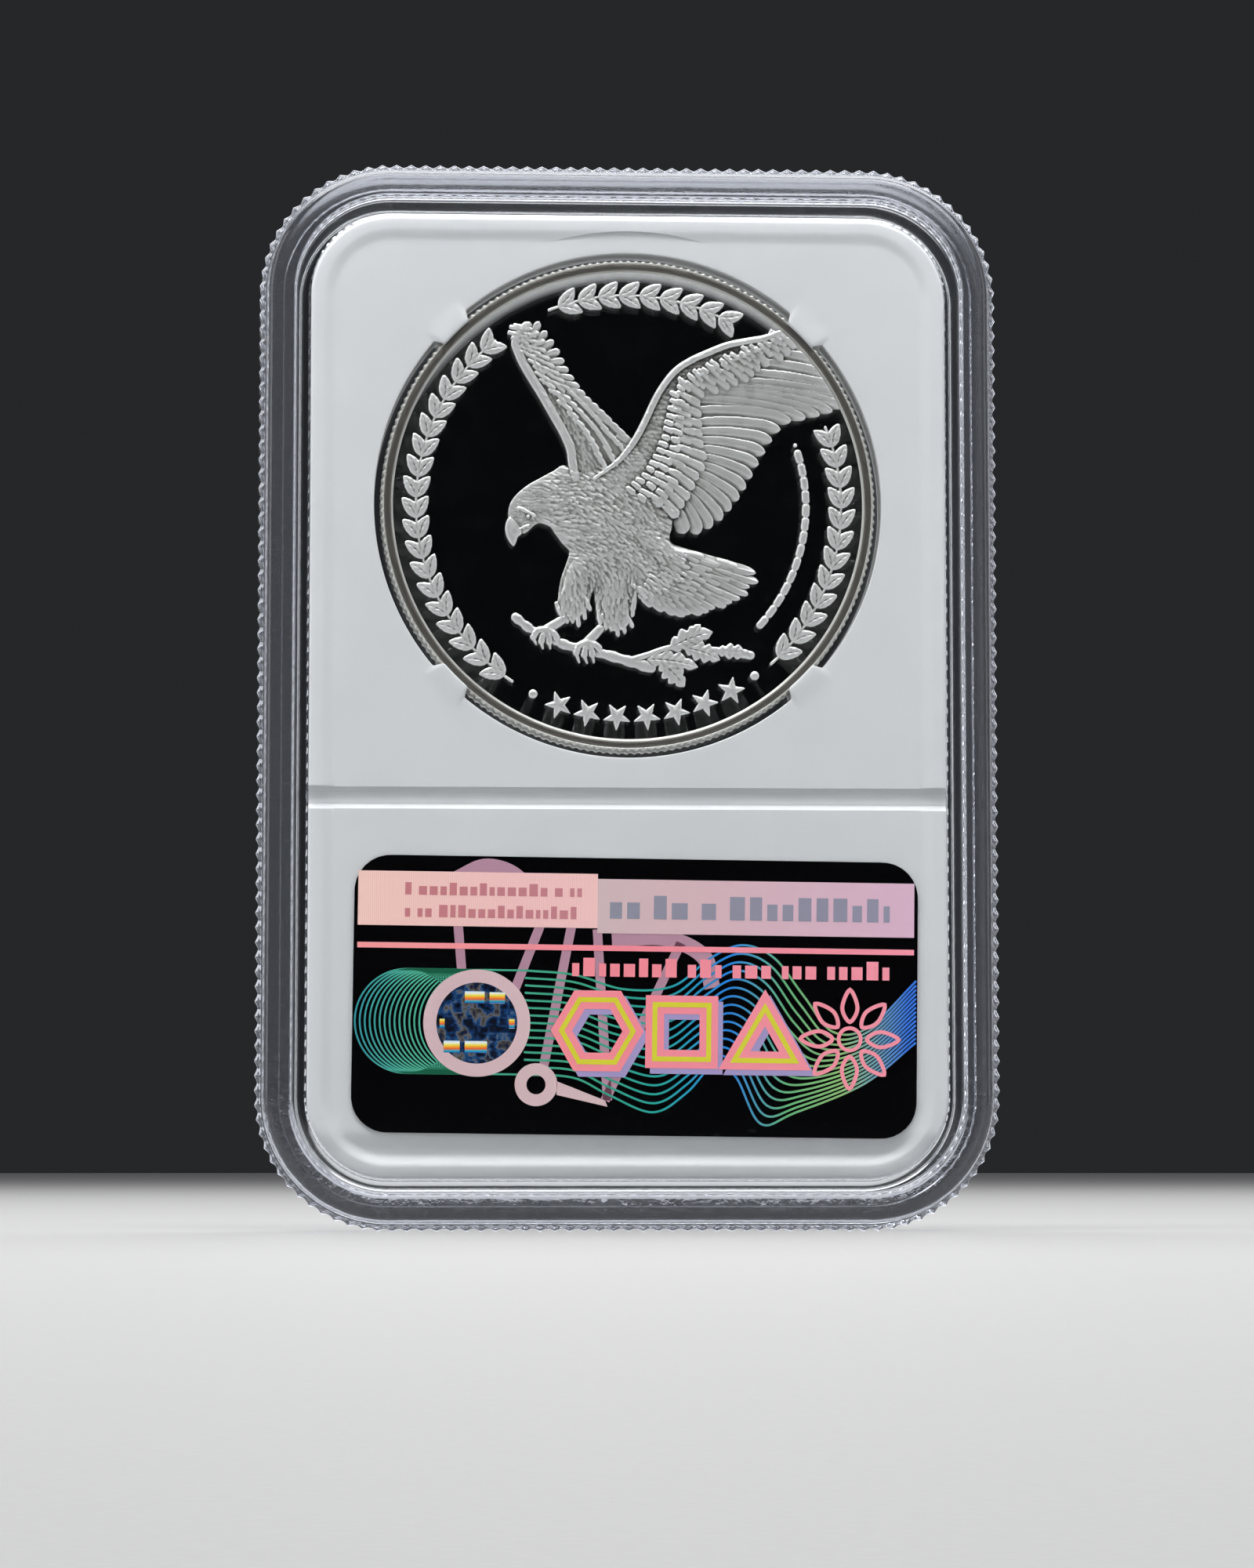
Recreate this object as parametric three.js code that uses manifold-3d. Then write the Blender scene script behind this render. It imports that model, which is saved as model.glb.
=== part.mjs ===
// Certified-coin slab: two clear welded shells around a white insert that grips a reeded coin.
// Millimetres. Every piece is drawn flat, with X to the right, Y up the slab and Z out of its
// rear face. The last group turns the slab upright: +Z up, rear face towards -Y, origin at the
// middle of the bottom edge.
import * as THREE from "three";
import { mergeVertices } from "three/addons/utils/BufferGeometryUtils.js";
import Module from "manifold-3d";

const wasm = await Module();
wasm.setup();

// ---- driving dimensions -------------------------------------------------------------------

const SLAB_WIDTH = 60.4;
const SLAB_HEIGHT = 87;
const SLAB_THICKNESS = 8;
const CORNER_RADIUS = 10.8;

const TOOTH_COUNT = 232; // serrations round the welded edge
const TOOTH_DEPTH = 0.24;
const SERRATED_HALF = 2.65; // how far the serrated band reaches each side of the seam
const SEAM_GAP = 0.03; // each shell stops this short of the seam plane
const FIT_GAP = 0.05; // working clearance between pieces that seat in each other

const SHOULDER_INSET = 0.64; // from the tooth crests in to the smooth wall above them
const EDGE_ROUNDING = 0.85; // rounding of the smooth wall into its top
const WALL_START = 0.7; // the smooth wall starts inside the serrated band, this far from the seam
const RIM_INNER_INSET = 3; // rear rim: from the crests in to the window recess
const WINDOW_OUTER = 3; // window faces, measured out from the seam plane
const WINDOW_INNER = 1.9;

const NEST_INSET = 3.15; // front ring: from the crests in, so that it nests in a rear rim
const NEST_WIDTH = 1.1;
const NEST_SHOULDER = 3.2; // height of the front shell outside that ring

const INSERT_INSET = 4.2; // from the crests in to the white insert
const INSERT_HALF = 1.85;
const INSERT_ROUNDING = 0.2;
const INSERT_BORDER = 1.3; // raised border round each face
const BORDER_RISE = 0.25;
const POCKET_INSET = INSERT_INSET - 0.15;

const TONGUE_INSET = 1.95;
const TONGUE_WIDTH = 0.8;
const TONGUE_HEIGHT = 1.15;

const RIB_HEIGHT_UP = 35; // the bar between the coin's chamber and the label's
const RIB_WIDTH = 0.9;
const RIB_DEPTH = 0.5;
const RIB_ROOT = 0.2; // how far the rib runs into the window and the side walls it joins
const RIB_GROOVE_WIDTH = 1.6;
const RIB_GROOVE_DEPTH = 0.65;

const COIN_RADIUS = 20.3;
const COIN_HALF = 1.49;
const COIN_UP = 59.1;
const COIN_FIELD_RADIUS = 19;
const COIN_FIELD_DROP = 0.28;
const COIN_RIM_BEVEL = 0.25;
const REED_COUNT = 200;
const REED_DEPTH = 0.12;

const SEAT_RADIUS = 20.77; // edge windows round the coin
const LIP_RADIUS = 19.95; // prong tips that overlap the coin's rim
const PRONG_ANGLES = [45, 135, 225, 315];
const PRONG_ROOT_HALF_ANGLE = 5.6;
const PRONG_TIP_HALF_ANGLE = 4.2;

const HOLOGRAM = { width: 45.8, height: 22.4, radius: 2.9, thickness: 0.12, x: 0.6, y: 18.9 };
const HOLOGRAM_TILT = 0.7; // degrees clockwise, as a hand-laid sticker sits

const CARD = { width: 48.4, height: 25.2, radius: 2.2, thickness: 0.25, x: 0, y: 19.4 };
const CARD_RECESS = 0.3;
const CARD_CLEARANCE = 0.2; // round the card in its recess

const CUT_MARGIN = 1; // how far a cutting solid runs past the face it opens
const ARC_SEGMENTS = 5; // an arc of a shape gets twice as many edges
const ROUND_SEGMENTS = 72;

// ---- helpers ------------------------------------------------------------------------------

// A closed three.js geometry as a manifold-3d solid.
function solid(geometry) {
  const bare = geometry.index ? geometry.toNonIndexed() : geometry.clone();
  bare.deleteAttribute("normal");
  bare.deleteAttribute("uv");
  const merged = mergeVertices(bare, 1e-4);
  return new wasm.Manifold(
    new wasm.Mesh({
      numProp: 3,
      vertProperties: merged.attributes.position.array,
      triVerts: new Uint32Array(merged.index.array),
    }),
  );
}

// A manifold-3d solid as a three.js geometry.
function geometryOf(body) {
  const mesh = body.getMesh();
  const geometry = new THREE.BufferGeometry();
  geometry.setAttribute("position", new THREE.BufferAttribute(mesh.vertProperties, 3));
  geometry.setIndex(new THREE.BufferAttribute(mesh.triVerts, 1));
  geometry.computeVertexNormals();
  return geometry;
}

// Traces a rounded rectangle centred on (x, y) with the given path or shape.
function traceRounded(path, width, height, radius, x, y) {
  const right = x + width / 2 - radius;
  const left = x - width / 2 + radius;
  const top = y + height / 2 - radius;
  const bottom = y - height / 2 + radius;
  path.absarc(right, bottom, radius, -Math.PI / 2, 0);
  path.absarc(right, top, radius, 0, Math.PI / 2);
  path.absarc(left, top, radius, Math.PI / 2, Math.PI);
  path.absarc(left, bottom, radius, Math.PI, 1.5 * Math.PI);
  path.closePath();
  return path;
}

function roundedShape({ width, height, radius, x, y }) {
  return traceRounded(new THREE.Shape(), width, height, radius, x, y);
}

// The slab's outline, moved in by an inset.
function insetSize(inset) {
  return {
    width: SLAB_WIDTH - 2 * inset,
    height: SLAB_HEIGHT - 2 * inset,
    radius: CORNER_RADIUS - inset,
    x: 0,
    y: SLAB_HEIGHT / 2,
  };
}

// The band between two insets of the slab's outline.
function ringShape(outerInset, innerInset) {
  const ring = roundedShape(insetSize(outerInset));
  const { width, height, radius, x, y } = insetSize(innerInset);
  ring.holes.push(traceRounded(new THREE.Path(), width, height, radius, x, y));
  return ring;
}

// A shape pulled up from one level to another.
function extrude(shape, from, to, curveSegments = ARC_SEGMENTS) {
  const geometry = new THREE.ExtrudeGeometry(shape, {
    depth: to - from,
    bevelEnabled: false,
    curveSegments,
  });
  return solid(geometry.translate(0, 0, from));
}

// The same, with both of its edges rounded. The shape is the outline at its widest.
function extrudeRounded(shape, from, to, rounding) {
  const geometry = new THREE.ExtrudeGeometry(shape, {
    depth: to - from - 2 * rounding,
    bevelThickness: rounding,
    bevelSize: rounding,
    bevelOffset: -rounding,
    bevelSegments: 3,
    curveSegments: ARC_SEGMENTS,
  });
  return solid(geometry.translate(0, 0, from + rounding));
}

function block(width, height, from, to, x, y) {
  return solid(
    new THREE.BoxGeometry(width, height, to - from).translate(x, y, (from + to) / 2),
  );
}

// A round disc on the coin's centre.
function disc(radius, half) {
  const geometry = new THREE.CylinderGeometry(radius, radius, 2 * half, ROUND_SEGMENTS);
  return solid(geometry.rotateX(Math.PI / 2).translate(0, COIN_UP, 0));
}

// The point and outward normal a distance along a rounded rectangle's edge, starting at the
// middle of its bottom side and running anticlockwise.
function alongEdge({ width, height, radius, x, y }, distance) {
  const straightX = width - 2 * radius;
  const straightY = height - 2 * radius;
  const arc = (Math.PI / 2) * radius;
  const sides = [straightX, straightY, straightX, straightY];
  let left = distance + straightX / 2;
  for (let side = 0; ; side = (side + 1) % 4) {
    const turn = (side * Math.PI) / 2;
    const alongX = Math.cos(turn);
    const alongY = Math.sin(turn);
    const outX = alongY;
    const outY = -alongX;
    const half = sides[side] / 2;
    const reach = sides[(side + 1) % 4] / 2 + radius;
    if (left <= sides[side]) {
      const t = left - half;
      return {
        x: x + alongX * t + outX * reach,
        y: y + alongY * t + outY * reach,
        outX,
        outY,
      };
    }
    left -= sides[side];
    if (left <= arc) {
      const angle = turn - Math.PI / 2 + left / radius;
      const centreX = x + alongX * half + outX * (reach - radius);
      const centreY = y + alongY * half + outY * (reach - radius);
      return {
        x: centreX + radius * Math.cos(angle),
        y: centreY + radius * Math.sin(angle),
        outX: Math.cos(angle),
        outY: Math.sin(angle),
      };
    }
    left -= arc;
  }
}

function edgeLength({ width, height, radius }) {
  return 2 * (width + height) - 8 * radius + 2 * Math.PI * radius;
}

// ---- shells -------------------------------------------------------------------------------

// The slab's outline with its grip teeth: crests on the outline, roots a tooth depth inside.
function toothedShape() {
  const outline = insetSize(0);
  const step = edgeLength(outline) / (2 * TOOTH_COUNT);
  const points = [];
  for (let i = 0; i < 2 * TOOTH_COUNT; i++) {
    const at = alongEdge(outline, i * step);
    const drop = i % 2 ? TOOTH_DEPTH : 0;
    points.push(new THREE.Vector2(at.x - at.outX * drop, at.y - at.outY * drop));
  }
  return new THREE.Shape(points);
}

// What both shells share: a serrated band, a smooth wall to the given height, a pocket for
// half of the insert, and the inner rib that crosses it. The seam is at 0.
function shellBlank(wallTop) {
  const band = extrude(toothedShape(), SEAM_GAP, SERRATED_HALF);
  const wall = extrudeRounded(
    roundedShape(insetSize(SHOULDER_INSET)),
    WALL_START,
    wallTop,
    EDGE_ROUNDING,
  );
  const pocketSize = insetSize(POCKET_INSET);
  const pocket = extrude(roundedShape(pocketSize), -CUT_MARGIN, WINDOW_INNER);
  const rib = block(
    pocketSize.width + 2 * RIB_ROOT,
    RIB_WIDTH,
    WINDOW_INNER - RIB_DEPTH,
    WINDOW_INNER + RIB_ROOT,
    0,
    RIB_HEIGHT_UP,
  );
  return band.add(wall).subtract(pocket).add(rib);
}

// The rear shell has the raised outer rim and the groove that takes the front's tongue.
function rearShell() {
  const top = SLAB_THICKNESS / 2;
  const recess = extrude(
    roundedShape(insetSize(RIM_INNER_INSET)),
    WINDOW_OUTER,
    top + CUT_MARGIN,
  );
  const groove = extrude(
    ringShape(TONGUE_INSET - FIT_GAP, TONGUE_INSET + TONGUE_WIDTH + FIT_GAP),
    -CUT_MARGIN,
    TONGUE_HEIGHT + 2 * FIT_GAP,
  );
  return geometryOf(shellBlank(top).subtract(recess).subtract(groove));
}

// The front shell has the inner ring that nests in another slab's rear rim, and the tongue.
function frontShell() {
  const top = SLAB_THICKNESS / 2;
  const ringInner = NEST_INSET + NEST_WIDTH;
  const ring = extrude(ringShape(NEST_INSET, ringInner), WINDOW_INNER, top);
  const recess = extrude(
    roundedShape(insetSize(ringInner)),
    WINDOW_OUTER,
    top + CUT_MARGIN,
  );
  const tongue = extrude(
    ringShape(TONGUE_INSET, TONGUE_INSET + TONGUE_WIDTH),
    -TONGUE_HEIGHT,
    WALL_START,
  );
  return geometryOf(shellBlank(NEST_SHOULDER).add(ring).subtract(recess).add(tongue));
}

// ---- insert -------------------------------------------------------------------------------

// The open space between two prongs, where the coin's reeded edge shows.
function edgeWindow(fromAngle, toAngle) {
  const tipShift = PRONG_ROOT_HALF_ANGLE - PRONG_TIP_HALF_ANGLE;
  const start = THREE.MathUtils.degToRad(fromAngle + PRONG_ROOT_HALF_ANGLE);
  const end = THREE.MathUtils.degToRad(toAngle - PRONG_ROOT_HALF_ANGLE);
  const shift = THREE.MathUtils.degToRad(tipShift);
  const inner = LIP_RADIUS - CUT_MARGIN;
  const shape = new THREE.Shape();
  shape.absarc(0, 0, SEAT_RADIUS, start, end);
  shape.lineTo(inner * Math.cos(end + shift), inner * Math.sin(end + shift));
  shape.absarc(0, 0, inner, end + shift, start - shift, true);
  shape.closePath();
  const depth = 2 * (INSERT_HALF + CUT_MARGIN);
  const geometry = new THREE.ExtrudeGeometry(shape, {
    depth,
    bevelEnabled: false,
    curveSegments: 12,
  });
  return solid(geometry.translate(0, COIN_UP, -depth / 2));
}

// The white insert: a bordered plate with the coin's seat, its four prongs, a groove on each
// face for the shells' ribs, and a shallow recess at the front for the label card.
function coinInsert() {
  const size = insetSize(INSERT_INSET);
  const panel = insetSize(INSERT_INSET + INSERT_BORDER);
  const face = INSERT_HALF - BORDER_RISE;
  let body = extrudeRounded(
    roundedShape(size),
    -INSERT_HALF,
    INSERT_HALF,
    INSERT_ROUNDING,
  );
  for (const side of [-1, 1]) {
    const outside = side * (INSERT_HALF + CUT_MARGIN);
    const levels = [side * face, outside].sort((a, b) => a - b);
    body = body.subtract(extrude(roundedShape(panel), ...levels));
    const grooveFloor = side * (INSERT_HALF - RIB_GROOVE_DEPTH);
    const grooveLevels = [grooveFloor, outside].sort((a, b) => a - b);
    body = body.subtract(
      block(SLAB_WIDTH, RIB_GROOVE_WIDTH, ...grooveLevels, 0, RIB_HEIGHT_UP),
    );
  }
  body = body.subtract(disc(LIP_RADIUS, INSERT_HALF + CUT_MARGIN));
  body = body.subtract(disc(COIN_RADIUS + FIT_GAP, COIN_HALF + FIT_GAP));
  PRONG_ANGLES.forEach((angle, i) => {
    const next = i + 1 < PRONG_ANGLES.length ? PRONG_ANGLES[i + 1] : PRONG_ANGLES[0] + 360;
    body = body.subtract(edgeWindow(angle, next));
  });
  const recess = {
    ...CARD,
    width: CARD.width + 2 * CARD_CLEARANCE,
    height: CARD.height + 2 * CARD_CLEARANCE,
  };
  return geometryOf(
    body.subtract(
      extrude(roundedShape(recess), -face - CUT_MARGIN, -face + CARD_RECESS),
    ),
  );
}

// ---- coin and labels ----------------------------------------------------------------------

// The coin: a reeded edge between two raised rims, with a sunk field on each face.
function coin() {
  const rimTop = COIN_RADIUS - COIN_RIM_BEVEL;
  const field = COIN_HALF - COIN_FIELD_DROP;
  const half = [
    new THREE.Vector2(0, field),
    new THREE.Vector2(COIN_FIELD_RADIUS, field),
    new THREE.Vector2(COIN_FIELD_RADIUS + COIN_RIM_BEVEL, COIN_HALF),
    new THREE.Vector2(rimTop, COIN_HALF),
  ];
  const profile = [
    ...half.map((p) => new THREE.Vector2(p.x, -p.y)),
    ...half.slice().reverse(),
  ];
  const core = new THREE.LatheGeometry(profile, ROUND_SEGMENTS)
    .rotateX(Math.PI / 2)
    .translate(0, COIN_UP, 0);
  const reeds = [];
  for (let i = 0; i < 2 * REED_COUNT; i++) {
    const angle = (i * Math.PI) / REED_COUNT;
    const radius = COIN_RADIUS - (i % 2 ? REED_DEPTH : 0);
    reeds.push(
      new THREE.Vector2(radius * Math.cos(angle), COIN_UP + radius * Math.sin(angle)),
    );
  }
  const edgeHalf = COIN_HALF - COIN_RIM_BEVEL;
  const edge = extrude(new THREE.Shape(reeds), -edgeHalf, edgeHalf);
  return geometryOf(solid(core).add(edge));
}

// A thin sticker or card with round corners, standing on the given level.
function sheet(size, level) {
  const centred = { ...size, x: 0, y: 0 };
  return geometryOf(
    extrude(roundedShape(centred), level, level + size.thickness),
  );
}

// ---- materials and assembly ---------------------------------------------------------------

function material(color, roughness, metalness, opacity = 1) {
  return new THREE.MeshStandardMaterial({
    color,
    roughness,
    metalness,
    opacity,
    transparent: opacity < 1,
  });
}

function piece(name, geometry, look) {
  const mesh = new THREE.Mesh(geometry, look);
  mesh.name = name;
  return mesh;
}

const slab = new THREE.Group();

const rear = piece("rear_shell", rearShell(), material(0xe9eef2, 0.06, 0, 0.25));
slab.add(rear);

const front = piece("front_shell", frontShell(), material(0xe9eef2, 0.06, 0, 0.25));
front.rotation.y = Math.PI;
slab.add(front);

slab.add(piece("coin_insert", coinInsert(), material(0xe4e6e8, 0.5, 0)));
slab.add(piece("coin", coin(), material(0xc4c4c0, 0.22, 1)));

const panelFace = INSERT_HALF - BORDER_RISE;
const hologram = piece(
  "hologram_label",
  sheet(HOLOGRAM, panelFace + FIT_GAP),
  material(0x0a0a0c, 0.25, 0.2),
);
hologram.position.set(HOLOGRAM.x, HOLOGRAM.y, 0);
hologram.rotation.z = THREE.MathUtils.degToRad(-HOLOGRAM_TILT);
slab.add(hologram);

const cardFloor = -panelFace + CARD_RECESS - FIT_GAP - CARD.thickness;
const card = piece("grade_label", sheet(CARD, cardFloor), material(0xf1efe8, 0.7, 0));
card.position.set(CARD.x, CARD.y, 0);
slab.add(card);

slab.rotation.x = Math.PI / 2;
const upright = new THREE.Group();
upright.add(slab);

export default upright;
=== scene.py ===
"""Looks for a certified-coin slab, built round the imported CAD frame. Shapes are drawn in
millimetres on each face, as (u, v, h): u across, v up the slab, h out of the face. The rear
face, where the eagle is, looks along -Y, and the front face along +Y."""

import math

import bpy
import bmesh
import numpy as np
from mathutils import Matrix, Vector

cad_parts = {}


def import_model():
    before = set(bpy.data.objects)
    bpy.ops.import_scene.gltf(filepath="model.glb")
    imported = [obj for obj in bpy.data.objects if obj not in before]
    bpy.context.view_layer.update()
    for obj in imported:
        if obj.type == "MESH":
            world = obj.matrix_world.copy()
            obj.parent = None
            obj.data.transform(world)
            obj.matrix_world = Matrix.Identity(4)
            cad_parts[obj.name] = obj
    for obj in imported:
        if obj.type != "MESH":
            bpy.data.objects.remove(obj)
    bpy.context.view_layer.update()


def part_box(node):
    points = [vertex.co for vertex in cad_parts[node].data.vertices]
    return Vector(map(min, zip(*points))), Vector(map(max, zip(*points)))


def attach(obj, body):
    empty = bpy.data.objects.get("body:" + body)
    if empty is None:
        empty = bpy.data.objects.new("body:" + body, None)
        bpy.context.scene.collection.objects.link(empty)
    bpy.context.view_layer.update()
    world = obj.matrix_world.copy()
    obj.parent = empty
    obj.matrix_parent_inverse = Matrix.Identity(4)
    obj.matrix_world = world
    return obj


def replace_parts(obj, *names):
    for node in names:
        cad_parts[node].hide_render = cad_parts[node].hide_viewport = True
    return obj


MM = 0.001

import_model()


# ---- sizes, in mm, from the frame where it has them ----


def box_mm(node):
    low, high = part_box(node)
    return np.array(low) / MM, np.array(high) / MM


SHELL_LOW, SHELL_HIGH = box_mm("rear_shell")
INSERT_LOW, INSERT_HIGH = box_mm("coin_insert")
COIN_LOW, COIN_HIGH = box_mm("coin")
FILM_LOW, FILM_HIGH = box_mm("hologram_label")
CARD_LOW, CARD_HIGH = box_mm("grade_label")

WIDTH = SHELL_HIGH[0] - SHELL_LOW[0]
HEIGHT = SHELL_HIGH[2] - SHELL_LOW[2]
HALF_THICKNESS = -SHELL_LOW[1]
MIDDLE = HEIGHT / 2
CORNER = 10.8

# Insets are measured in from the outline, and heights out from the middle plane.
TEETH = 232
TOOTH_DEPTH = 0.24
STEPS_PER_TOOTH = 6
SERRATED = 2.65
SEAM = 0.03
SHOULDER = 0.64
ROUNDING = 0.85
RIM_INNER = 3.0
WINDOW_OUT = 3.0
WINDOW_IN = 1.9
NEST_INSET = 3.15
NEST_WIDTH = 1.1
NEST_SHOULDER = 3.2
TONGUE = 1.95
TONGUE_WIDTH = 0.8
TONGUE_HEIGHT = 1.15
RIB_V = 35.0
RIB_HALF = 0.45

INSERT_INSET = (WIDTH - (INSERT_HIGH[0] - INSERT_LOW[0])) / 2
INSERT_WIDTH = INSERT_HIGH[0] - INSERT_LOW[0]
INSERT_HEIGHT = INSERT_HIGH[2] - INSERT_LOW[2]
INSERT_MIDDLE = (INSERT_HIGH[2] + INSERT_LOW[2]) / 2
INSERT_CORNER = CORNER - INSERT_INSET
BORDER_TOP = INSERT_HIGH[1]
BORDER_IN = 0.95
COVE = 1.15
FLAT = 4.0
PANEL = 1.6
POCKET = INSERT_INSET - 0.15
CUP = 22.6
WINDOW_R = 20.77
SEAT_R = 20.36
LIP_R = 19.93
CUP_STEPS, INSERT_STEPS, CARD_STEPS, FILM_STEPS = 720, 480, 160, 200

COIN_R = (COIN_HIGH[0] - COIN_LOW[0]) / 2
COIN_TOP = COIN_HIGH[1]
COIN_V = (COIN_HIGH[2] + COIN_LOW[2]) / 2
FIELD = 1.21
FIELD_R = 19.25
REEDS = 200
REED_DEPTH = 0.12

FILM_TOP = -FILM_LOW[1]
FILM_SIZE = (45.8, 22.4, 2.9)
FILM_MIDDLE = ((FILM_LOW[0] + FILM_HIGH[0]) / 2, (FILM_LOW[2] + FILM_HIGH[2]) / 2)
FILM_TILT = math.radians(-0.7)
DISC_AT = (-12.85, -2.3)
CARD_SIZE = (CARD_HIGH[0] - CARD_LOW[0], CARD_HIGH[2] - CARD_LOW[2], 2.2)
CARD_V = (CARD_HIGH[2] + CARD_LOW[2]) / 2


# ---- mesh helpers ----


def rear_face(p):
    """(u, v, h) on the rear face, in mm, to a place in the frame, in metres."""
    p = np.asarray(p, float)
    return np.stack([p[..., 0], -p[..., 2], p[..., 1]], -1) * MM


def front_face(p):
    """The same on the front face, where u runs to the right as seen from the front."""
    p = np.asarray(p, float)
    return np.stack([-p[..., 0], p[..., 2], p[..., 1]], -1) * MM


class Builder:
    """Collects points in face millimetres and faces, and turns them into one mesh."""

    def __init__(self):
        self.points = []
        self.faces = []
        self.looks = []

    def add(self, points, faces, look=0):
        start = len(self.points)
        self.points.extend(np.asarray(points, float).reshape(-1, 3).tolist())
        self.faces.extend([[start + i for i in f] for f in faces])
        self.looks.extend([look] * len(faces))

    def mesh(self, name, place=rear_face, sharp=35.0):
        data = bpy.data.meshes.new(name)
        data.from_pydata(place(np.array(self.points)).tolist(), [], self.faces)
        data.polygons.foreach_set("material_index", self.looks)
        finish_mesh(data, sharp)
        return data


def finish_mesh(data, sharp):
    """Turns the faces outwards and shades them smooth, apart from edges over the sharp angle."""
    work = bmesh.new()
    work.from_mesh(data)
    bmesh.ops.recalc_face_normals(work, faces=work.faces)
    work.to_mesh(data)
    work.free()
    shade(data, sharp)


def shade(data, sharp):
    data.shade_smooth()
    data.set_sharp_from_angle(angle=math.radians(sharp))


def grid_faces(rows, columns, wrap=False):
    faces = []
    for i in range(rows - 1):
        for j in range(columns if wrap else columns - 1):
            k = (j + 1) % columns
            faces.append([i * columns + j, (i + 1) * columns + j, (i + 1) * columns + k, i * columns + k])
    return faces


def placed(name, data):
    made = bpy.data.objects.new(name, data)
    bpy.context.scene.collection.objects.link(made)
    return made


def show(name, data, looks):
    piece = placed(name, data)
    for look in looks:
        data.materials.append(look)
    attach(piece, "root")
    return piece


def rounded_path(width, height, radius, centre, count):
    """Points evenly spaced round a rounded rectangle, anticlockwise from the middle of its
    bottom side, with their outward normals."""
    straight = [width - 2 * radius, height - 2 * radius] * 2
    arc = math.pi / 2 * radius
    total = sum(straight) + 4 * arc
    points, normals = np.zeros((count, 2)), np.zeros((count, 2))
    for i in range(count):
        left = (i / count * total + straight[0] / 2) % total
        for side in range(5):
            turn = side % 4 * math.pi / 2
            along = np.array([math.cos(turn), math.sin(turn)])
            out = np.array([along[1], -along[0]])
            half = straight[side % 4] / 2
            reach = straight[(side + 1) % 4] / 2 + radius
            if left <= 2 * half:
                points[i] = along * (left - half) + out * reach
                normals[i] = out
                break
            left -= 2 * half
            if left <= arc:
                angle = turn - math.pi / 2 + left / radius
                normals[i] = math.cos(angle), math.sin(angle)
                points[i] = along * half + out * (reach - radius) + normals[i] * radius
                break
            left -= arc
    return points + np.array(centre), normals


def circle_path(radius, centre, count):
    turn = np.arange(count) / count * 2 * math.pi
    normals = np.stack([np.cos(turn), np.sin(turn)], -1)
    return np.array(centre) + normals * radius, normals


def arc_points(centre, radius, start, end, steps):
    """(inset, h) points on an arc, with angles in degrees, 0 along the inset and 90 along h."""
    angles = np.radians(np.linspace(start, end, steps + 1))
    return [(centre[0] + radius * math.cos(a), centre[1] + radius * math.sin(a)) for a in angles]


def loft(builder, path, profile, bite=None, look_of=None, sag=None):
    """Sweeps an open (inset, h) profile round a path, and closes both ends with flat caps.
    bite, one value for each path point, deepens the inset where a profile point's third
    value asks for it, and lowers it where the fourth does. look_of gives a material number
    for each band of the profile, and sag lowers the side that faces out."""
    points, normals = path
    profile = [(*p, *(0.0, 0.0)[len(p) - 2 :]) for p in profile]
    count = len(points)
    bite = np.zeros(count) if bite is None else bite
    grid = np.zeros((len(profile), count, 3))
    for i, (inset, level, share, drop) in enumerate(profile):
        depth = inset + share * bite
        grid[i, :, :2] = points - normals * depth[:, None]
        grid[i, :, 2] = level - drop * bite
        if sag and level > 0:
            grid[i, :, 2] -= sag(inset, grid[i, :, 1])
    faces = grid_faces(len(profile), count, wrap=True)
    last = (len(profile) - 1) * count
    faces.append(list(range(count)))
    faces.append([last + j for j in reversed(range(count))])
    start = len(builder.faces)
    builder.add(grid, faces)
    if look_of:
        bands = [look_of((profile[i][0] + profile[i + 1][0]) / 2) for i in range(len(profile) - 1)]
        builder.looks[start:] = [b for b in bands for _ in range(count)] + [look_of(99), look_of(99)]


def combine(data, tool, operation):
    """Joins or cuts a mesh with another, with both as closed solids."""
    piece, cutter = placed("work", data), placed("tool", tool)
    modifier = piece.modifiers.new("combine", "BOOLEAN")
    modifier.operation = operation
    modifier.solver = "MANIFOLD"
    modifier.object = cutter
    bpy.context.view_layer.update()
    evaluated = piece.evaluated_get(bpy.context.evaluated_depsgraph_get())
    made = bpy.data.meshes.new_from_object(evaluated)
    bpy.data.objects.remove(piece)
    bpy.data.objects.remove(cutter)
    made.materials.clear()
    return made


def span(builder, ends):
    """A closed prism between two matching rings of points."""
    count = len(ends[0])
    faces = [[i, (i + 1) % count, count + (i + 1) % count, count + i] for i in range(count)]
    faces += [list(reversed(range(count))), list(range(count, 2 * count))]
    builder.add([*ends[0], *ends[1]], faces)


def prism(builder, outline, low, high):
    """A closed prism over a flat (u, v) outline."""
    span(builder, [[(*p, h) for p in outline] for h in (low, high)])


def rectangle(u0, v0, u1, v1):
    return [(u0, v0), (u1, v0), (u1, v1), (u0, v1)]


def smooth_step(x):
    x = np.clip(x, 0, 1)
    return x * x * (3 - 2 * x)


def unit(way):
    return way / np.hypot(*way)


def unit_rows(ways):
    return ways / np.hypot(ways[:, 0], ways[:, 1])[:, None]


def curve_through(points, per=8, closed=False):
    """A smooth line through points, by Catmull-Rom."""
    p = np.array(points, float)
    if closed:
        p = np.vstack([p[-1], p, p[:2]])
    else:
        p = np.vstack([2 * p[0] - p[1], p, 2 * p[-1] - p[-2]])
    out = []
    for i in range(1, len(p) - 2):
        t = np.linspace(0, 1, per, endpoint=False)[:, None]
        a, b, c, d = p[i - 1 : i + 3]
        square, cube = 2 * a - 5 * b + 4 * c - d, 3 * b - a - 3 * c + d
        out.append(0.5 * (2 * b + (c - a) * t + square * t**2 + cube * t**3))
    if not closed:
        out.append(p[-2:-1])
    return np.vstack(out)


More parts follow.
